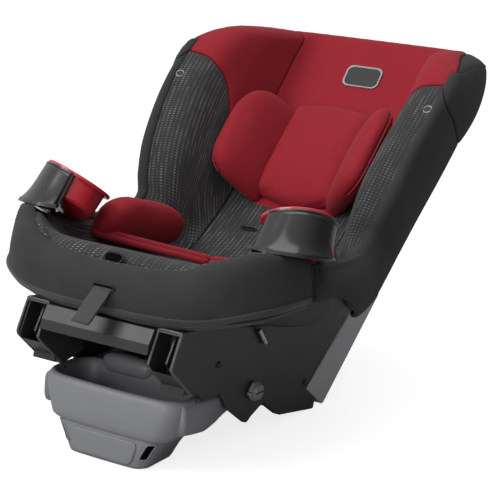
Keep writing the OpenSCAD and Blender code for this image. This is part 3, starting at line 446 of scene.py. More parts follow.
def groove(o, path, width=3.5, depth=3.0, axis=None):
    """sewn channel: pulls the surface near a path inward and darkens it with painted shade"""
    P = np.asarray(path, float) / 1000
    s = np.concatenate([[0], np.linalg.norm(np.diff(P, axis=0), axis=-1).cumsum()]); q = np.linspace(0, s[-1], max(40, int(s[-1]*1000/1.5)))
    P = np.stack([np.interp(q, s, P[:, k]) for k in range(3)], -1)
    me = o.data; co = np.array([v.co for v in me.vertices]); no = np.array([v.normal for v in me.vertices])
    d = np.full(len(co), 1e9); lo, hi = P.min(0) - .03, P.max(0) + .03
    sel = np.where(((co > lo) & (co < hi)).all(1))[0]
    for i in range(0, len(sel), 4000):
        k = sel[i:i+4000]; d[k] = np.linalg.norm(co[k][:, None] - P[None], axis=-1).min(1)
    w = np.exp(-(d*1000 / width)**2)
    co = co - no * (w * depth / 1000)[:, None]
    me.vertices.foreach_set("co", co.ravel()); me.update()
    # painted shade along the groove: its distance goes into seam, which the fabric shaders darken
    a = me.attributes["seam"]; v = np.zeros(len(co), np.float32); a.data.foreach_get("value", v)
    a.data.foreach_set("value", np.minimum(v, d*1000).astype(np.float32))

# ------------------------------------------------------------------ seat cover
def cup_clear(P):
    """keeps fabric under the cups: points near a cup's axis stay below its bottom"""
    P = P.copy()
    for s in (1, -1):
        c = CUPC * [s, 1, 1]; ax = CAX * [s, 1, 1]
        v = P - c; h = v @ ax; r = np.linalg.norm(v - h[..., None] * ax, axis=-1)
        lim = -46.5 + np.maximum(0, r - 37) * 4.0
        ex = np.where(h > lim, h - lim, 0) * (r < 62)
        ex = np.where((v[..., 2] > -75), ex, 0)
        P = P - (ex[..., None]) * ax
    return P
def arm_clear(P, off=1.2):
    """keeps fabric under the cup brackets' flanges"""
    z = np.interp(P[..., 1], ARM[:, 0], ARM[:, 1]) - off
    near = (np.abs(P[..., 0]) > 118) & (P[..., 1] < 0)
    P = P.copy(); P[..., 2] = np.where(near, np.minimum(P[..., 2], z), P[..., 2])
    return P
def warp_cups(T, B):
    return arm_clear(cup_clear(T)), arm_clear(cup_clear(B), 3.6)

# basin: front lip, pan and the inner faces of the arms
def f_basin(a, b):
    u = 6.3 * a; t = -1 + 2*b
    P = G(u, t); sm = lambda x: np.clip(x, 0, 1)**2*(3 - 2*np.clip(x, 0, 1))
    lift = 12 * sm((np.abs(P[..., 0]) - 76)/24) * sm((P[..., 1] + 215)/60) * sm((-20 - P[..., 1])/70) * sm((165 - np.abs(P[..., 0]))/40)
    dent = 4.6 * np.exp(-((P[..., 1] + 215)/13)**2 - (P[..., 0]/26)**4)   # room for the tongues when they slide out
    P[..., 2] += lift - dent
    return P
basin = panel("cover_basin", f_basin, "jacquard", step=6.5, crown=0, warp=warp_cups, rolled="acd", H=4, r=6)
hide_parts("seat_cover")
# centre of the back
def tb(u): return np.interp(u, [6.2, 7.4, 8.3, 10.5, 12], [.39, .44, .45, .49, .50])
def f_back(a, b):
    u = 6.25 + (10.5 - 6.25) * a; return G(u, tb(u) * (-1 + 2*b))
back = panel("cover_back_centre", f_back, "jacquard", step=7, crown=2.5)
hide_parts("back_pad")
# inner faces of the wings
for s, sd in ((1, "left"), (-1, "right")):
    def f_wing(a, b, s=s):
        t = .47 + .53*b; u = 6.25 + (ub(t) - 6.25)*a
        for _ in range(3):
            t = tb(u) + (1 - tb(u))*b; u = 6.25 + (ub(t) - 6.25)*a
        return G(u, s*t)
    w = panel("cover_wing_" + sd, (lambda a, b, s=s: f_wing(a, b, s)) if s > 0 else (lambda a, b: f_wing(a, 1 - b, -1)), "jacquard", step=7, crown=3, uvref=1. if s > 0 else 0., seed=s)
    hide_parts("wing_cover_" + sd)
# red head panels: centre and two sides
top = lambda t: 14.36
def f_head(a, b):
    t = -.50 + 1.0*b; return G(10.35 + (14.36 - 10.35)*a, t)
head = panel("cover_head_centre", f_head, "crimson", step=8, crown=4, wr=.35)
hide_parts("head_cover")
def f_hs(a, b, s):
    t = .50 + .50*b; u0 = ub(t); u1 = 14.36 + 0*b
    return G(u0 + (u1 - u0)*a, s*t)
for s, sd in ((1, "left"), (-1, "right")):
    h = panel("cover_head_" + sd, (lambda a, b: f_hs(a, b, 1)) if s > 0 else (lambda a, b: f_hs(a, 1 - b, -1)), "crimson", step=8, crown=4.5, wr=.35, seed=s)
    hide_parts("side_foam_" + sd)

# plain charcoal sides: from the piping over the front edge, down the outside and round to the back
THEM = np.array([[3.0,.74],[3.5,.76],[4.0,.80],[4.3,.78],[4.5,.765],[4.73,.70],[5.35,.585],[5.7,.50],[7,.46],[9,.46],[14.6,.46]])
def them(u): return np.interp(u, THEM[:, 0], THEM[:, 1])
def usplit(t):  # seam across the side, from the piping's top to the rear corner
    return 12.42 - 1.35 * np.clip((t - 1.0) / .42, 0, 1) ** .8
def f_side_lo(a, b, s):
    # the end of the row depends on u, so solve it by two passes
    u = 3.02 + 9*a
    for _ in range(3):
        te = 1.2 + (1 - them(u)); t = 1 + (te - 1)*b; u = 3.02 + (usplit(t) - 3.02)*a
    return G(u, s*t)
def f_side_hi(a, b, s):
    u = 12.5 + 1.6*a
    for _ in range(2):
        te = 1.2 + (1 - them(u)); t = 1 + (te - 1)*b; u0 = usplit(t); u = u0 + (14.0 - u0)*a
    return G(u, s*t)
for s, sd in ((1, "left"), (-1, "right")):
    fl = (lambda a, b: f_side_lo(a, b, 1)) if s > 0 else (lambda a, b: f_side_lo(a, 1 - b, -1))
    fh = (lambda a, b: f_side_hi(a, b, 1)) if s > 0 else (lambda a, b: f_side_hi(a, 1 - b, -1))
    p = panel("cover_side_" + sd, fl, "charcoal", step=7, crown=2.5, warp=warp_cups, wr=.45, seed=2*s)
    q = panel("cover_side_top_" + sd, fh, "charcoal", step=7, crown=6.0, wr=.3, seed=s)
    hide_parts("side_cover_" + sd)
# band over the top, behind the red panels, down to the shell
def f_cap(a, b):
    t = -1 + 2*b; u = 14.36 + (16.0 - 14.36)*a
    return G(u, t)
def Gt(u, t):
    return G(u, t)
cap = panel("cover_top_band", f_cap, "charcoal", step=8, crown=1)

# piping along the wings' front edges and over the red panels
for s, sd in ((1, "left"), (-1, "right")):
    us = np.linspace(3.6, 12.42, 160)
    P = arm_clear(cup_clear(surf_path(us, np.full(160, 1.004*s), 1.6)), .2)
    tube("piping_wing_" + sd, P, 1.9, "dark_pipe")
    us = np.linspace(12.42, 14.3, 50)
    tube("piping_head_edge_" + sd, surf_path(us, np.full(50, 1.004*s), 1.2), 1.5, "crimson_pipe")
    # thread rows beside the seams
    us = np.linspace(6.5, 12.3, 200)
    stitches("stitch_wing_" + sd, surf_path(us, np.full(200, 1.045*s), 3.6), "thread")
    us = np.linspace(10.8, 13.9, 120)
    stitches("stitch_head_" + sd, surf_path(us, np.full(120, .515*s), 3.75), "thread_red", L=2.4, gap=1.8, r=.32)

# ------------------------------------------------------------------ apron
APT = np.array([[0,-302,246],[50,-301,247],[93,-296,252],[112,-290,259],[125,-281,263],[137,-267,267],[150,-256,272],[165,-238,275],[174,-210,268],[177,-176,258]], float)
AC1 = np.array([[0,-315,244],[50,-315,246],[97,-309,251],[120,-301,259],[137,-292,264],[152,-278,269],[168,-260,276],[181,-238,279],[187,-210,274],[189,-172,266]], float)
AC2 = np.array([[0,-324,222],[50,-324,223],[99,-318,226],[126,-310,230],[146,-298,234],[164,-279,238],[178,-257,242],[188,-235,245],[194,-208,245],[196,-170,241]], float)
APH = np.array([[0,-319,197],[50,-321,196],[94,-312,196],[125,-302,199],[144,-293,203],[163,-283,207],[178,-268,210],[187,-246,212],[193,-212,214],[196,-168,214]], float)
def apron_pt(s, v):
    """s -1..1 round the front, v 0 (lip seam) .. 1 (hem)"""
    s, v = np.broadcast_arrays(np.asarray(s, float), np.asarray(v, float)); q = np.abs(s) * 9; sg = np.where(s < 0, -1., 1.)
    rows = [crm(np.vstack([T[1:2]*[-1,1,1], T])[1:], q) for T in (APT, AC1, AC2, APH)]
    K = np.array([0, .3, .68, 1.])
    # Lagrange-like smooth blend through the four curves
    W = []
    for i in range(4):
        w = np.ones_like(v)
        for j in range(4):
            if j != i: w = w * (v - K[j]) / (K[i] - K[j])
        W.append(w)
    P = sum(w[..., None]*r for w, r in zip(W, rows)); P[..., 0] *= sg
    return P
def f_apron(a, b): return apron_pt(-1 + 2*b, 1 - a)
def warp_ap(T, B): return arm_clear(T), arm_clear(B, 3.6)
apron = panel("cover_apron", f_apron, "charcoal", step=6, crown=2.5, warp=warp_ap, wr=.35, under=3.)
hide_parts("apron_cover")
# bound hem
b = np.linspace(-1, 1, 260)
HM = apron_pt(b, 1.0); HD = np.stack([HM[:, 0]*.0, HM[:, 0]*0, HM[:, 0]*0], -1)
inw = -np.stack([HM[:, 0]/230., (HM[:, 1] + 150)/170., 0*HM[:, 0]], -1)
def f_hem(a, bb):
    P = apron_pt(-1 + 2*bb, 1.0); n = np.stack([P[..., 0]/215., np.minimum(0, (P[..., 1] + 165)/155.), 0*P[..., 0]], -1)
    n /= np.maximum(np.linalg.norm(n, axis=-1, keepdims=True), 1e-6)
    return P + n * (-1.0 - 3.5*(1 - a))[..., None] + np.stack([0*a, 0*a, -7.5*(1 - a)], -1)
hem = panel("cover_hem_binding", f_hem, "thread", step=6, H=2.2, r=3.2, under=1.5)
tube("piping_hem", apron_pt(b, 1.0) + np.array([0, -.8, -.6]), 1.7, "dark_pipe")
tube("piping_lip", arm_clear(apron_pt(b, 0.0) + np.array([0, -.6, 1.6]), .3), 1.3, "dark_pipe")
for s, sd in ((1, "left"), (-1, "right")):
    v = np.linspace(.12, 1, 40)
    P = apron_pt(np.full(40, .998*s), v); P = P + (P - [0, -150, P[:, 2].mean()]) * 0 + np.array([2.4*s, 1.0, .6])
    tube("piping_side_seam_" + sd, arm_clear(P, .3), 1.4, "dark_pipe")
    P2 = apron_pt(np.full(40, .965*s), v) + np.array([3.2*s, 0, .9])
    stitches("stitch_side_seam_" + sd, arm_clear(P2, .3), "thread")
bb = np.linspace(-.93, .93, 300)
stitches("stitch_hem", apron_pt(bb, .93) + np.stack([bb*3.4, -3.3*(1-np.abs(bb)**3), 0*bb], -1), "thread")
stitches("stitch_lip", arm_clear(apron_pt(bb, .085) + np.stack([bb*1.5, -1.9 + 0*bb, 2.9 + 0*bb], -1), .1), "thread")

# ------------------------------------------------------------------ padded pieces
def squircle(a, b, k):
    x, y = 2*a - 1, 2*b - 1
    return (x*np.sqrt(np.maximum(0, 1 - k*y*y/2)) + 1)/2, (y*np.sqrt(np.maximum(0, 1 - k*x*x/2)) + 1)/2
def cushion(name, fun, front, backt, k=.5, p=3.2, n=26, mat="crimson", body="seat", ex=.5):
    """closed crowned pad: fun(a,b) is its middle sheet, front/backt its half thicknesses, k how round its corners are"""
    A, Bq = np.meshgrid(np.linspace(0, 1, n), np.linspace(0, 1, n), indexing="ij")
    a2, b2 = squircle(A, Bq, k); P = fun(a2, b2)
    N = grid_normals(P)
    c = np.maximum(0, (1 - np.abs(2*A - 1)**p) * (1 - np.abs(2*Bq - 1)**p)) ** ex
    T = P + N*(front*c + .25)[..., None]; Bm = P - N*(backt*c + .25)[..., None]
    V, F = closed_grid(T, Bm)
    return make(name, V, F, mat, body, np.zeros((len(V), 2)), {"seam": np.full(len(V), 50.)})
def loft(name, secs, mat, body="seat", n=24, e=2.4, attrs=True):
    """closed loft of superellipse sections: (centre, half-axis vector x, half-axis vector y)"""
    V = []; F = []; th = np.linspace(0, 2*np.pi, n, endpoint=False)
    cx = np.sign(np.cos(th))*np.abs(np.cos(th))**(2/e); sy = np.sign(np.sin(th))*np.abs(np.sin(th))**(2/e)
    for c, x, y in secs: V.append(np.asarray(c, float) + cx[:, None]*np.asarray(x, float) + sy[:, None]*np.asarray(y, float))
    m = len(V); V = np.concatenate(V)
    for i in range(m-1):
        for j in range(n): F.append((i*n+j, i*n+(j+1) % n, (i+1)*n+(j+1) % n, (i+1)*n+j))
    F.append(tuple(range(n-1, -1, -1))); F.append(tuple((m-1)*n + i for i in range(n)))
    return make(name, V, F, mat, body, np.zeros((len(V), 2)), {"seam": np.full(len(V), 50.)})

# insert: a bolster each side
SPN = np.array([  # y, x centre, z base, z top, half width
 [-120,-146,226,247,14],[-112,-145,222,262,21],[-98,-143,214,272,25],[-70,-140,205,275,27],[-40,-134,199,268,27],[-10,-128,197,262,28],[14,-121,198,254,27],[30,-115,200,245,24]], float)
def bolster(s, sd):
    q = np.linspace(0, 7, 30); R = crm(SPN, q); secs = []
    for i, (y, x, zb, zt, w) in enumerate(R):
        f = math.sqrt(max(.02, 1 - abs(2*i/29 - 1)**5))
        zc = (zb + zt)/2; secs.append((np.array([s*-x*1.0, y, zc]), np.array([w*f*.9, 0, w*.18*s]), np.array([-s*8., 0, (zt - zb)/2*f])))
    o = loft("insert_bolster_" + sd, secs, "crimson", e=2.6)
    cloth(o, 4.5, 7, 4.5, 18); finish_soft(o, 5, 1)
    return o
for s, sd in ((1, "left"), (-1, "right")):
    o = bolster(s, sd)
    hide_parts("seat_insert")
# the insert's front band, a V of two soft rolls
VB = np.array([[-158,-111,234],[-146,-112,231.5],[-110,-101,226],[-75,-91,221.5],[-35,-80,217],[-8,-72,213.5],[0,-70,213]], float)
def vband(s):
    P = crm(VB, np.linspace(0, 6, 60)); P[:, 0] *= -s; return P
for s, sd in ((1, "left"), (-1, "right")):
    P = vband(s); T = np.gradient(P, axis=0); T /= np.linalg.norm(T, axis=1, keepdims=True)
    sd_v = np.cross(T, [0, 0, 1.]); sd_v /= np.linalg.norm(sd_v, axis=1, keepdims=True)
    if sd_v[30, 1] > 0: sd_v = -sd_v
    for i, (off, dz, w, h) in enumerate(((0, 1.8, 5.2, 4.6), (5.2, -2.6, 4.6, 4.6))):
        secs = []
        for j, p in enumerate(P):
            f = math.sqrt(max(.03, 1 - (max(0, 1 - j/5.))**2)) if j < 5 else 1
            g = 1 if j < 50 else max(.35, 1 - (j-50)/14.)
            secs.append((p + sd_v[j]*off*g + [0, 0, dz], sd_v[j]*w*f*g, np.array([0, 0, h*f*g])))
        loft("insert_band_%s_%d" % (sd, i), secs, "crimson_pipe", n=16, e=2.2)
    # point function for a sheet joining the band to the bolster; no sheet is built from it
    def f_web(a, b, P=P):
        q = 2 + 44*(1-b); i = np.clip(q, 0, 58).astype(int); base = P[i]
        end = S_in(5.6 + 0*a, (-s if False else s) * np.interp(q, [0, 44], [.86, .42]))
        end = end + [0, 0, 3.]
        k = a[..., None] ** 1.0
        return base*(1-k) + end*k + np.stack([0*a, 0*a, 2*np.sin(np.pi*a)], -1)

# head pillow: centre and two wings folded forward
E1 = np.array([0, .7373, .6756]); E2 = np.array([0, -.6756, .7373]); PB = np.array([0, 176., 256.])
def pl(s_, d, x): 
    s_, d, x = np.broadcast_arrays(np.asarray(s_, float), np.asarray(d, float), np.asarray(x, float))
    return PB + s_[..., None]*E1 + d[..., None]*E2 + x[..., None]*np.array([1., 0, 0])
def f_pc(a, b):
    x = -67 + 134*b; s_ = -17 + 187*a + 5*np.cos(np.pi*(b - .5)*2)*(2*a - 1)
    return pl(s_, 13 + 5*np.sin(np.pi*np.clip(a, 0, 1)) + 13*(2*b - 1)**4, x)
pc = cushion("pillow_centre", f_pc, 22, 11, k=.10, p=6.5, n=38, body="pillow", ex=.5)
cloth(pc, 4.0, 5, 3.0, 14); finish_soft(pc, 3, 1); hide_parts("head_pillow")
LS = np.array([-21,-19,-13,-5,7,22,60,88,102,115,127,137,145,150.])
LG = np.array([.60,.74,.87,.95,1.0,1.03,1.05,1.05,1.03,.99,.92,.82,.69,.54]); LT = np.array([.16,.45,.74,.92,1,1,1,1,1,.96,.86,.68,.46,.18])
def lobe_pt(s, ss, k, n_):
    """point on a lobe: ss up the slope, k 0 at the seam .. 1 at the tip; n_ (across its thickness) is not used"""
    g = np.interp(ss, LS, LG); t_ = np.interp(ss, LS, LT)
    bx, bd, L = 59., 9., 96*g
    th = np.radians(34 + 30*k); x = bx + L*k*np.cos(np.radians(52))*1.0 + 5*np.sin(np.pi*k); d = bd + L*k*np.sin(np.radians(57)) - 7*np.sin(np.pi*k)
    return pl(ss + 0*k, d, s*x)
for s, sd in ((1, "left"), (-1, "right")):
    secs = []
    qs = np.linspace(0, len(LS)-1, 40)
    for q in qs:
        ss = float(crm(LS[:, None], q)[..., 0]); g = float(np.interp(q, range(len(LS)), LG)); t_ = float(np.interp(q, range(len(LS)), LT))
        hl = 49*g; ux, ud = .545, .838
        c = pl(ss, 8 + ud*hl + 0, s*(60 + ux*hl)); axl = (ux*s*np.array([1., 0, 0]) + ud*E2)*hl*1.02; axt = (ud*s*np.array([1., 0, 0]) - ux*E2)*19.5*t_
        secs.append((c, axl, axt))
    lb = loft("pillow_lobe_" + sd, secs, "crimson", body="pillow", n=44, e=2.7)
    cloth(lb, 4.0, 5, 3.0, 14); finish_soft(lb, 3, 1)
    # piping round the lobe's rim
    P = []
    for q in np.linspace(1.2, len(LS)-2.2, 70):
        ss = float(crm(LS[:, None], q)[..., 0]); g = float(np.interp(q, range(len(LS)), LG)); t_ = float(np.interp(q, range(len(LS)), LT))
        hl = 49*g; c = pl(ss, 8 + .838*hl, s*(60 + .545*hl)); u_ = (.545*s*np.array([1., 0, 0]) + .838*E2); w_ = (.838*s*np.array([1., 0, 0]) - .545*E2)
        P.append(c + u_*(hl*1.02*.93) + w_*(19.5*t_*.47))
    P = np.array(P)
    groove(lb, P, 4.0, 2.2)
    tube("pillow_piping_" + sd, P + np.gradient(P, axis=0)*0, 1.5, "crimson_pipe", body="pillow")
fl_ = cushion("pillow_tongue", lambda a, b: pl(-30 + 46*a, 7.0 + 0*a, -82 + 164*b), 3.4, 2.4, k=.95, p=6, n=30, body="pillow")
finish_soft(fl_, 2, 1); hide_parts("pillow_flap")

# blank patch on the head panel and blank studs on the wings
def rrect(w, h, r, n=8):
    P = []
    for cx, cy, a0 in ((w-r, h-r, 0), (-w+r, h-r, 90), (-w+r, -h+r, 180), (w-r, -h+r, 270)):
        for i in range(n+1):
            a = math.radians(a0 + 90*i/n); P.append((cx + r*math.cos(a), cy + r*math.sin(a)))
    return np.array(P)
def plate(name, c, ex, ey, nz, outline, z0, prof, mat, body="seat"):
    """flat badge with a moulded edge: prof is a list of (inset, height)"""
    V = []; F = []; n = len(outline); cen = outline.mean(0); R = np.linalg.norm(outline - cen, axis=1, keepdims=True)
    for ins, h in prof:
        o = cen + (outline - cen)*(1 - ins/R); V.append(c + o[:, :1]*ex + o[:, 1:]*ey + (z0 + h)*nz)
    V = np.concatenate(V)
    for i in range(len(prof)-1):
        for j in range(n): F.append((i*n+j, i*n+(j+1) % n, (i+1)*n+(j+1) % n, (i+1)*n+j))
    F.append(tuple(range(n-1, -1, -1))); F.append(tuple((len(prof)-1)*n + i for i in range(n)))
    return make(name, V, F, mat, body, np.zeros((len(V), 2)), {"seam": np.full(len(V), 50.)})
pc0 = surf_path([12.42], [0.0], 0)[0]; pe = surf_path([12.6], [0.0], 0)[0] - surf_path([12.3], [0.0], 0)[0]; pe /= np.linalg.norm(pe)
pn = np.array([0, -pe[2], pe[1]]); pn = pn if pn[1] < 0 else -pn
ol = rrect(30, 19.5, 10)
ol[:, 0] += 0; ol[:, 1] *= 1 + .10*np.cos(ol[:, 0]/30*1.2) - .06
pt = plate("badge_patch_rim", pc0, np.array([1., 0, 0]), pe, pn, ol, 8.0, [(0, 0), (0, 1.2), (.5, 1.8), (2.0, 1.9), (2.6, 1.4), (3.0, 1.0)], "badge_rim")
pi_ = plate("badge_patch_field", pc0, np.array([1., 0, 0]), pe, pn, ol*[(30-2.9)/30, (19.5-2.9)/19.5], 8.5, [(0, 0), (0, .9), (.3, 1.1), (3, 1.25)], "badge")
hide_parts("badge_patch")
for s, sd in ((1, "left"), (-1, "right")):
    c = surf_path([11.38], [.972*s], 0)[0]; q1 = surf_path([11.48], [.972*s], 0)[0] - surf_path([11.28], [.972*s], 0)[0]; q1 /= np.linalg.norm(q1)
    q2 = surf_path([11.38], [.985*s], 0)[0] - surf_path([11.38], [.955*s], 0)[0]; q2 -= q1*(q2 @ q1); q2 /= np.linalg.norm(q2)
    nn = np.cross(q2, q1)*s; nn = nn if nn @ np.array([.3, -.9, .2]) > 0 else -nn
    th = np.linspace(0, 2*np.pi, 32, endpoint=False); ol2 = np.stack([np.cos(th), np.sin(th)], -1)*6.6
    r1 = plate("wing_stud_rim_" + sd, c, q2, q1, nn, ol2, 2.6, [(0, 0), (0, 1.0), (.4, 1.5), (1.2, 1.5), (1.5, 1.1)], "badge_rim")
    r2 = plate("wing_stud_face_" + sd, c, q2, q1, nn, ol2*.8, 3.0, [(0, 0), (0, .7), (.6, 1.0), (2.5, 1.15)], "badge")
    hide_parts("wing_badge_" + sd)

# ------------------------------------------------------------------ straps
def strap(name, path, w, t, mat="webbing", body="seat", side=(1, 0, 0), edge=.45):
    """flat webbing with rounded selvedges along a path (mm), width along side"""
    P = np.asarray(path, float); s = np.concatenate([[0], np.linalg.norm(np.diff(P, axis=0), axis=-1).cumsum()])
    m = max(6, int(s[-1]/3)); q = np.linspace(0, s[-1], m+1); P = np.stack([np.interp(q, s, P[:, k]) for k in range(3)], -1)
    for _ in range(2): P[1:-1] = .25*P[:-2] + .5*P[1:-1] + .25*P[2:]
    T = np.gradient(P, axis=0); T /= np.linalg.norm(T, axis=1, keepdims=True); X = np.asarray(side, float)
    prof = [(-w/2, 0), (-w/2+.35, t*.42), (-w/2+1.4, t*.5), (0, t*.5), (w/2-1.4, t*.5), (w/2-.35, t*.42), (w/2, 0), (w/2-.35, -t*.42), (w/2-1.4, -t*.5), (0, -t*.5), (-w/2+1.4, -t*.5), (-w/2+.35, -t*.42)]
    V = []; F = []; UV = []; n = len(prof)
    for i, p in enumerate(P):
        Nn = np.cross(X, T[i]); Nn /= np.linalg.norm(Nn)
        for x, z in prof: V.append(p + X*x + Nn*z); UV.append((x, q[i]))
    for i in range(len(P)-1):
        for j in range(n): F.append((i*n+j, i*n+(j+1) % n, (i+1)*n+(j+1) % n, (i+1)*n+j))
    F.append(tuple(range(n-1, -1, -1))); F.append(tuple((len(P)-1)*n + i for i in range(n)))
    return make(name, np.array(V), F, mat, body, np.array(UV), {"seam": np.full(len(V), 50.)})
# adjuster strap: out of the slot in the apron, down over the hem to its folded end
SP_ = [[7,-305,238],[7,-321,231.5],[7,-331,226.5],[6,-337,219],[3,-351,204],[0,-364.5,189.5]]
a1 = strap("strap_adjuster", SP_, 25, 1.8, body="pull_strap")
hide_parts("adjuster_strap")
strap("strap_adjuster_fold", [[6,-336,217.8],[3,-350,202.2],[0,-363.2,188.2]], 24.4, 1.6, body="pull_strap")
dn = np.array([0, -.6, .8]) * 1.25
bx = [[-4,-342,213.2],[13,-342,213.2],[11,-354,200.3],[-6,-354,200.3],[-4,-342,213.2],[11,-354,200.3]]
stitches("strap_adjuster_stitch", np.array(bx, float) + dn*1.0 + [0, .4, .3], "thread", L=2.0, gap=1.0, r=.35, body="pull_strap")
stitches("strap_adjuster_stitch_b", np.array([[13,-342,213.2],[-6,-354,200.3]], float) + dn + [0, .4, .3], "thread", L=2.0, gap=1.0, r=.35, body="pull_strap")
# slots: a near-black plate of painted shade in each mouth, with a bound edge
def slot_mouth(name, c, ex, ey, nz, w, h, rr=1.3, mat="dark_pipe", deep=True):
    c = np.asarray(c, float); ex = np.asarray(ex, float); ey = np.asarray(ey, float); nz = np.asarray(nz, float)
    ol = rrect(w/2, h/2, min(w, h)/2*.95, 6)
    P = c + ol[:, :1]*ex + ol[:, 1:]*ey; P = np.vstack([P, P[:2]])
    tube(name + "_edge", P + nz*.6, rr, mat, step=1.5)
    plate(name + "_mouth", c, ex, ey, nz, ol, -1.5, [(0, 0), (0, 1.6), (.3, 1.9)], "dark")
slot_mouth("slot_lip", [1,-302.6,255.9], [1,0,0], [0,.62,.78], [0,-.78,.62], 26, 13)
slot_mouth("slot_apron", [8,-330.6,227.5], [1,0,0], [0,.08,.99], [0,-.99,.08], 30, 6)
for s, sd in ((1, "left"), (-1, "right")):
    c = surf_path([7.66], [.165*s], 6.3)[0]; q1 = surf_path([7.8], [.165*s], 0)[0] - surf_path([7.5], [.165*s], 0)[0]; q1 /= np.linalg.norm(q1)
    slot_mouth("slot_harness_" + sd, c, [1,0,0], q1, np.cross([1,0,0], q1), 26, 5, 1.1)
c = surf_path([3.75], [0.], 5.2)[0]
slot_mouth("slot_crotch", c, [1,0,0], [0,.97,-.2], [0,.2,.97], 44, 7, 1.2)


# ------------------------------------------------------------------ foot: rounded open tray on a stepped body, arms back to the rod
def ring(w, y0, y1, r, z, n=9):
    """rounded rectangle at height z, subdivided along its straight sides; r is the corner radius"""
    cy = (y0 + y1)/2; P = rrect(w, (y1 - y0)/2, r, n); out = []
    for i in range(len(P)):
        a, b = P[i], P[(i+1) % len(P)]; k = 7 if np.linalg.norm(b - a) > 12 else 1
        for j in range(k): out.append(a + (b - a)*j/k)
    P = np.array(out); return np.stack([P[:, 0], P[:, 1] + cy, np.full(len(P), z)], -1)
def stack(name, rings, mat, body, sharp=0):
    n = len(rings[0]); V = np.concatenate(rings); F = []
    for i in range(len(rings)-1):
        for j in range(n): F.append((i*n+j, i*n+(j+1) % n, (i+1)*n+(j+1) % n, (i+1)*n+j))
    F.append(tuple(range(n-1, -1, -1))); F.append(tuple((len(rings)-1)*n + i for i in range(n)))
    return make(name, V, F, mat, body, np.zeros((len(V), 2)), {"seam": np.full(len(V), 50.)})
def bowx(R, k=0.00065):
    R = R.copy(); f = R[:, 1] < -262; R[:, 1] += np.where(f, (np.abs(R[:, 0])**2)*k, 0); return R
FR = []
for w, y0, y1, r, z in ((54,-297,-226,14,0),(57,-299.5,-222,16,1.2),(59,-300.5,-220,17,5),(66,-301,-216,19,20),(73,-301.2,-212,20,32),(78,-301.2,-209,22,38),
                        (79,-301,-208,22,39.5),(86,-303,-207,24,41),(89.5,-304.6,-206,25,43.5),(92,-305.4,-205,26,50),(97,-305.4,-203,28,62),(101,-304.5,-202,29,74),(103,-303,-201.5,29,84),
                        (102.5,-301.5,-202,29,89),(100.5,-299,-204,28,92.2),(97,-295.8,-207,26,93.4),(93.5,-292.6,-210,24,92.2),(91,-290,-212.5,22,89),(89.5,-288.5,-214,21,84),
                        (86,-286,-217,19,68),(82,-283,-220,17,54),(78,-280,-223,14,47.5),(72,-275,-228,10,45.6)):
    FR.append(bowx(ring(w, y0, y1, r, z)))
foot_v = stack("foot_tray", FR, "grey", "foot"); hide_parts("recline_foot")
# raised panel on the front and the pockets at its sides, near-black sheets of painted shade
def frontpt(x, z):
    return np.array([x, -301.4 + x*x*.00065, z])
ol = rrect(47, 15, 8, 8)
V = []; F = []
for ins, h in ((0, -1.5), (0, 1.0), (.6, 1.7), (1.6, 2.0), (6, 2.1)):
    cen = ol.mean(0); R = np.linalg.norm(ol - cen, axis=1, keepdims=True); o = cen + (ol - cen)*(1 - ins/R)
    V.append(np.array([frontpt(p[0]*(1 + .0*p[1]) * (.88 + .006*(p[1]+15)), 20 + p[1]) + [0, -h, 0] for p in o]))
n = len(ol); V = np.concatenate(V)
for i in range(4):
    for j in range(n): F.append((i*n+j, i*n+(j+1) % n, (i+1)*n+(j+1) % n, (i+1)*n+j))
F.append(tuple(range(n-1, -1, -1))); F.append(tuple(4*n + i for i in range(n)))
make("foot_front_panel", V, F, "grey", "foot", np.zeros((len(V), 2)), {"seam": np.full(len(V), 50.)})
FP = np.array([(0,54,-297,14),(5,59,-300.5,17),(20,66,-301,19),(32,73,-301.2,20),(38,78,-301.2,22)], float)
def corner(s, z, ang, off):
    w_, y_, r_ = (np.interp(z, FP[:, 0], FP[:, k]) for k in (1, 2, 3)); a_ = np.radians(ang)
    x = w_ - r_ + (r_ + off)*np.sin(a_); y = y_ + r_ - (r_ + off)*np.cos(a_)
    y = y + np.where(y < -262, x*x*.00065, 0)
    return np.stack([x*s, y, z + 0*x], -1)
for s, sd in ((1, "left"), (-1, "right")):
    Zg, Ag = np.meshgrid(np.linspace(13.5, 36, 10), np.linspace(20, 50, 8), indexing="ij")
    V, F = closed_grid(corner(s, Zg, Ag, .5), corner(s, Zg, Ag, -1.5))
    make("foot_pocket_" + sd, V, F, "dark", "foot", np.zeros((len(V), 2)), {"seam": np.full(len(V), 50.)})
    zz = np.concatenate([np.linspace(13.5, 36, 12), np.full(6, 36.), np.linspace(36, 13.5, 12), np.full(6, 13.5), [15]]); aa_ = np.concatenate([np.full(12, 19.), np.linspace(22, 48, 6), np.full(12, 51.), np.linspace(48, 22, 6), [19.]])
    tube("foot_pocket_edge_" + sd, corner(s, zz, aa_, .5), 1.25, "grey", body="foot", step=1.6)
    # arm: swells out of the rim and sweeps down and back to the rod
    C = np.array([[94,-284,70],[97,-262,69],[99,-240,68],[98,-216,68],[96,-192,69],[95,-166,70.5],[94.5,-148,72.5],[94.5,-134,74],[94.5,-122,74.5]], float)
    Wd = np.array([9, 9.5, 10, 9.5, 8.5, 7.5, 7.2, 7, 4.5]); Hd = np.array([19, 21, 21.5, 19, 16, 14, 14, 14, 7.5]); secs = []
    for q in np.linspace(0, 8, 33):
        c = crm(C, q); w_ = np.interp(q, range(9), Wd); h_ = np.interp(q, range(9), Hd)
        secs.append((c*[s, 1, 1], np.array([w_*s, 0, 0]), np.array([0, 0, h_])))
    loft("foot_arm_" + sd, secs, "grey", body="foot", n=28, e=3.4)
# rib behind the tray
secs = [(np.array([x, -207., 93.]), np.array([0, 12.*f, 0]), np.array([0, 0, 13.*f])) for x, f in ((-66,.25),(-64,.6),(-59,.86),(-52,.98),(-40,1),(-20,1),(-6,.98),(2,.86),(7,.6),(9,.25))]
loft("foot_rear_rib", secs, "grey", body="foot", n=24, e=2.6)

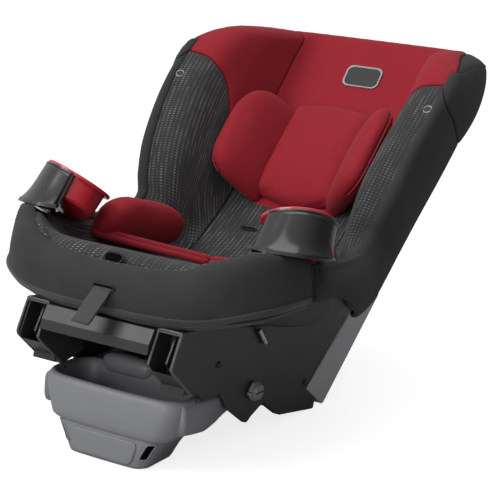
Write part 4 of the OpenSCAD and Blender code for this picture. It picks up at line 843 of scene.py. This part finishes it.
# ------------------------------------------------------------------ cup brackets: swept skirt over the flange and a bead along the rim
ARMZ = lambda y: np.interp(y, ARM[:, 0], ARM[:, 1])
for s, sd in ((1, "left"), (-1, "right")):
    ez = CAX; ex_ = np.array([1., 0, 0]); ex_ = ex_ - ez*(ex_ @ ez); ex_ /= np.linalg.norm(ex_); ey_ = np.cross(ez, ex_)
    o = NODE["cup_holder_" + sd]; mw_ = np.array(o.matrix_world); co = np.array([v.co for v in o.data.vertices]); co = (co @ mw_[:3, :3].T + mw_[:3, 3])*1000; co[:, 0] *= s
    v = co - CUPC; h = v @ ez; x = v @ ex_; y = v @ ey_; rr_ = np.hypot(x, y); f = np.degrees(np.arctan2(y, x)); sel = (rr_ > 42) & (rr_ < 49) & (h > -45)
    R = {}
    for a, hh in zip(f[sel], h[sel]):
        k = round(a/4)
        if k not in R or hh > R[k][1]: R[k] = (a, hh)
    RIMP = np.array([R[k] for k in sorted(R) if -118 < R[k][0] < 100 and R[k][1] > -30])
    rim = lambda a: np.interp(a, RIMP[:, 0], RIMP[:, 1])
    nf = 60; pd_ = np.linspace(-113, 92, nf); ph = np.radians(pd_); kk = np.linspace(0, 1, 14); outer = []; inner = []
    for dg, f in zip(pd_, ph):
        d = ex_*math.cos(f) + ey_*math.sin(f); rb = 58.5; h = 0.
        lo = CUPC + d*rb
        for _ in range(12): p = lo + ez*h; h += (ARMZ(p[1]) + 2.6 - p[2])/ez[2]*.9
        h = min(h, -14.) - 10*math.exp(-((dg + 113)/26)**2); ht = float(rim(dg)) - 1.2; o_ = []; i_ = []
        for k in kk:
            r_ = 48.0 + (rb - 48.0)*(.42*(1 - k) + .58*(1 - k)**5); z = h + (ht - h)*k
            o_.append(CUPC + d*r_ + ez*z); i_.append(CUPC + d*(r_ - 1.5 - .0*k) + ez*(z - 2.4*(1 - k)**3))
        outer.append(o_); inner.append(i_)
    A = np.array(outer); Bn = np.array(inner); A[..., 0] *= s; Bn[..., 0] *= s
    V, F = closed_grid(A, Bn)
    make("cup_skirt_" + sd, V, F, "gloss", "seat", np.zeros((len(V), 2)), {"seam": np.full(len(V), 50.)})
    P = np.array([CUPC + (ex_*math.cos(f) + ey_*math.sin(f))*46.4 + ez*(float(rim(dg)) + .1) for dg, f in zip(pd_, ph)]); P[:, 0] *= s
    tube("cup_rim_bead_" + sd, P, 2.0, "gloss", step=2.5)

# ------------------------------------------------------------------ lip, hem tape and seam piping of the apron
VS = np.array([[-1,.02],[-.6,.03],[-.4,.03],[-.22,.07],[-.12,.10],[-.05,.16],[0,.24],[.03,.22],[.08,.13],[.14,.14],[.19,.17],[.225,.16],[.27,.11],[.34,.09],[.48,.06],[.6,.03],[1,.02]])
vs = lambda s_: np.interp(s_, VS[:, 0], VS[:, 1])
def f_lip(a, b):
    s_ = -.62 + 1.24*b; v1 = vs(s_); return apron_pt(s_, v1 + (-.05 - v1)*a)
MAT["hemtape"] = webbing("fabric_hem_tape", (.016, .016, .0165))
lip = panel("cover_lip", f_lip, "jacquard", step=5, H=5.0, r=4.5, under=2., rolled="acd", uvref=.5)
sl = np.linspace(-.62, .62, 200)
lipseam = apron_pt(sl, vs(sl)); e_ = apron_pt(sl, vs(sl) + .02) - lipseam; t_ = np.gradient(lipseam, axis=0); nn = np.cross(t_, e_); nn /= np.linalg.norm(nn, axis=1, keepdims=True); nn = np.where((nn[:, 1:2] > 0), -nn, nn)
tube("piping_lip_seam", lipseam + nn*2.8, 1.3, "dark_pipe")
def f_tape(a, b):
    return apron_pt(-.985 + 1.97*b, 1.0 - .125*a)
tape = panel("cover_hem_tape", f_tape, "hemtape", step=5, H=5.6, r=2.6, under=1., crown=.8)
for s, sd in ((1, "left"), (-1, "right")):
    v = np.linspace(.10, 1, 40); P = apron_pt(np.full(40, .998*s), v) + np.array([3.6*s, 9.5, .6])
    tube("piping_side_seam_b_" + sd, arm_clear(P, .3), 1.2, "dark_pipe")

# ------------------------------------------------------------------ moulded rims round the open box rails, in rim plastic whose lighter colour paints in their bright edge highlight
for s, sd in ((1, "left"), (-1, "right")):
    RB = [(-336,148.5),(-315,188.5),(-284,104.8)]
    for nm, xx in (("outer", 110.), ("inner", 78.6)):
        P = np.array([[xx*s,-316,188.6],[xx*s,-336.4,148.6],[xx*s,-284,104.6]], float)
        P = np.vstack([P[0]*(1-k) + P[1]*k for k in np.linspace(0, 1, 12)] + [P[1]*(1-k) + P[2]*k for k in np.linspace(.08, 1, 16)])
        tube("rail_rim_%s_%s" % (nm, sd), P, 1.8, "rim", step=3)
    for nm, (y, z) in (("top", (-316.2, 188.4)), ("low", (-284.2, 104.8))):
        tube("rail_rim_%s_%s" % (nm, sd), np.array([[78.6*s, y, z], [94*s, y-.4, z+.2], [110*s, y, z]]), 1.8, "rim", step=3)

# ------------------------------------------------------------------ hard parts keep their CAD shapes
HARD = {"black": ["base_side_left","base_side_right","base_front_beam","base_rear_panel","base_floor_tray","base_screws","adjuster_housing","buckle_housing","anchor_latch_left","anchor_latch_right"],
 "shell": ["seat_shell"], "grey_trim": ["rear_trim_left","rear_trim_right"], "grey": ["recline_foot","pivot_knob_left","pivot_knob_right","anchor_button_left","anchor_button_right"],
 "steel": ["shell_cross_brace","foot_pivot_rod","adjuster_pin","adjuster_lever","splitter_plate","buckle_tongue_left","buckle_tongue_right","anchor_bar","tether_hook","tether_gate","shell_rod_left","shell_rod_right"],
 "gloss": ["cup_holder_left","cup_holder_right"], "glossred": ["cup_liner_left","cup_liner_right"], "red_button": ["buckle_button"],
 "webbing": ["harness_strap_left","harness_strap_right","crotch_strap","anchor_strap","tether_strap"]}
for mname, ns in HARD.items():
    for n in ns:
        o = NODE[n]
        if not o.material_slots: o.data.materials.append(MAT[mname])
        for sl in o.material_slots: sl.material = MAT[mname]

# ------------------------------------------------------------------ camera, floor, light
A_, E_, F_, D_, TY, TZ, RO, TX = (0.488692, 0.229741, 1446.351076, 1979.176284, 15.105886, 214.594645, -0.083209, 11.932377)
sa, ca, se, ce = math.sin(A_), math.cos(A_), math.sin(E_), math.cos(E_)
Rv, Uv, Bv = np.array([ca, sa, 0]), np.array([-sa*se, ca*se, ce]), np.array([sa*ce, -ca*ce, se])
cR, sR = math.cos(RO), math.sin(RO)
Xc, Yc = cR*Rv - sR*Uv, sR*Rv + cR*Uv
loc = (np.array([TX, TY, TZ]) + D_*Bv)/1000
cam_d = bpy.data.cameras.new("cam"); cam = bpy.data.objects.new("cam", cam_d); scene.collection.objects.link(cam)
cam_d.sensor_width = 36; cam_d.lens = F_/500*36
mw = Matrix.Identity(4)
for i in range(3): mw[i][0], mw[i][1], mw[i][2], mw[i][3] = Xc[i], Yc[i], Bv[i], loc[i]
cam.matrix_world = mw; scene.camera = cam; cam_d.clip_end = 50

fm = bpy.data.meshes.new("floor"); fm.from_pydata([(-6, -6, 0), (6, -6, 0), (6, 6, 0), (-6, 6, 0)], [], [(0, 1, 2, 3)])
floor = bpy.data.objects.new("floor", fm); scene.collection.objects.link(floor); floor.location.z = -.0005
m, nt, b = _new("floor_pale"); b.inputs["Base Color"].default_value = (.45, .45, .45, 1); b.inputs["Roughness"].default_value = .9
b.inputs["Specular IOR Level"].default_value = .1
b.inputs["Emission Color"].default_value = (1, 1, 1, 1)
fl_lp = nt.nodes.new("ShaderNodeLightPath"); nt.links.new(M(nt, "MULTIPLY", fl_lp.outputs["Is Camera Ray"], .80), b.inputs["Emission Strength"])
fm.materials.append(m)
w = bpy.data.worlds.new("w"); scene.world = w; w.use_nodes = True
bgn = w.node_tree.nodes["Background"]; wn = w.node_tree
lp = wn.nodes.new("ShaderNodeLightPath"); tc = wn.nodes.new("ShaderNodeTexCoord")
dt = wn.nodes.new("ShaderNodeVectorMath"); dt.operation = "DOT_PRODUCT"; wn.links.new(tc.outputs["Generated"], dt.inputs[0])
dt.inputs[1].default_value = (-.58, -.42, .70)
mr = wn.nodes.new("ShaderNodeMapRange"); mr.interpolation_type = "SMOOTHSTEP"; wn.links.new(dt.outputs["Value"], mr.inputs[0])
for i, v in ((1, -.55), (2, .85), (3, .10), (4, .72)): mr.inputs[i].default_value = v
mx = wn.nodes.new("ShaderNodeMix"); mx.data_type = "FLOAT"; wn.links.new(mr.outputs[0], mx.inputs[2]); mx.inputs[3].default_value = 1.05
wn.links.new(lp.outputs["Is Camera Ray"], mx.inputs[0])
bgn.inputs[0].default_value = (1, 1, 1, 1); wn.links.new(mx.outputs[0], bgn.inputs[1])
def area(name, loc, target, size, power, sy=None):
    l = bpy.data.lights.new(name, "AREA"); l.energy = power; l.size = size; l.shape = "RECTANGLE"; l.size_y = sy or size
    o = bpy.data.objects.new(name, l); scene.collection.objects.link(o); o.location = loc
    o.rotation_euler = (Vector(target) - Vector(loc)).to_track_quat("-Z", "Y").to_euler(); return o
area("key", (-1.2, -2.1, 2.2), (0, 0, .25), 1.5, 46)
area("fill", (.35, -2.7, .65), (0, 0, .2), 1.0, 17)
area("top", (-.1, .1, 2.6), (0, 0, .3), 1.8, 16)
try:
    scene.view_settings.view_transform = "Standard"; scene.view_settings.look = "None"
except Exception: pass
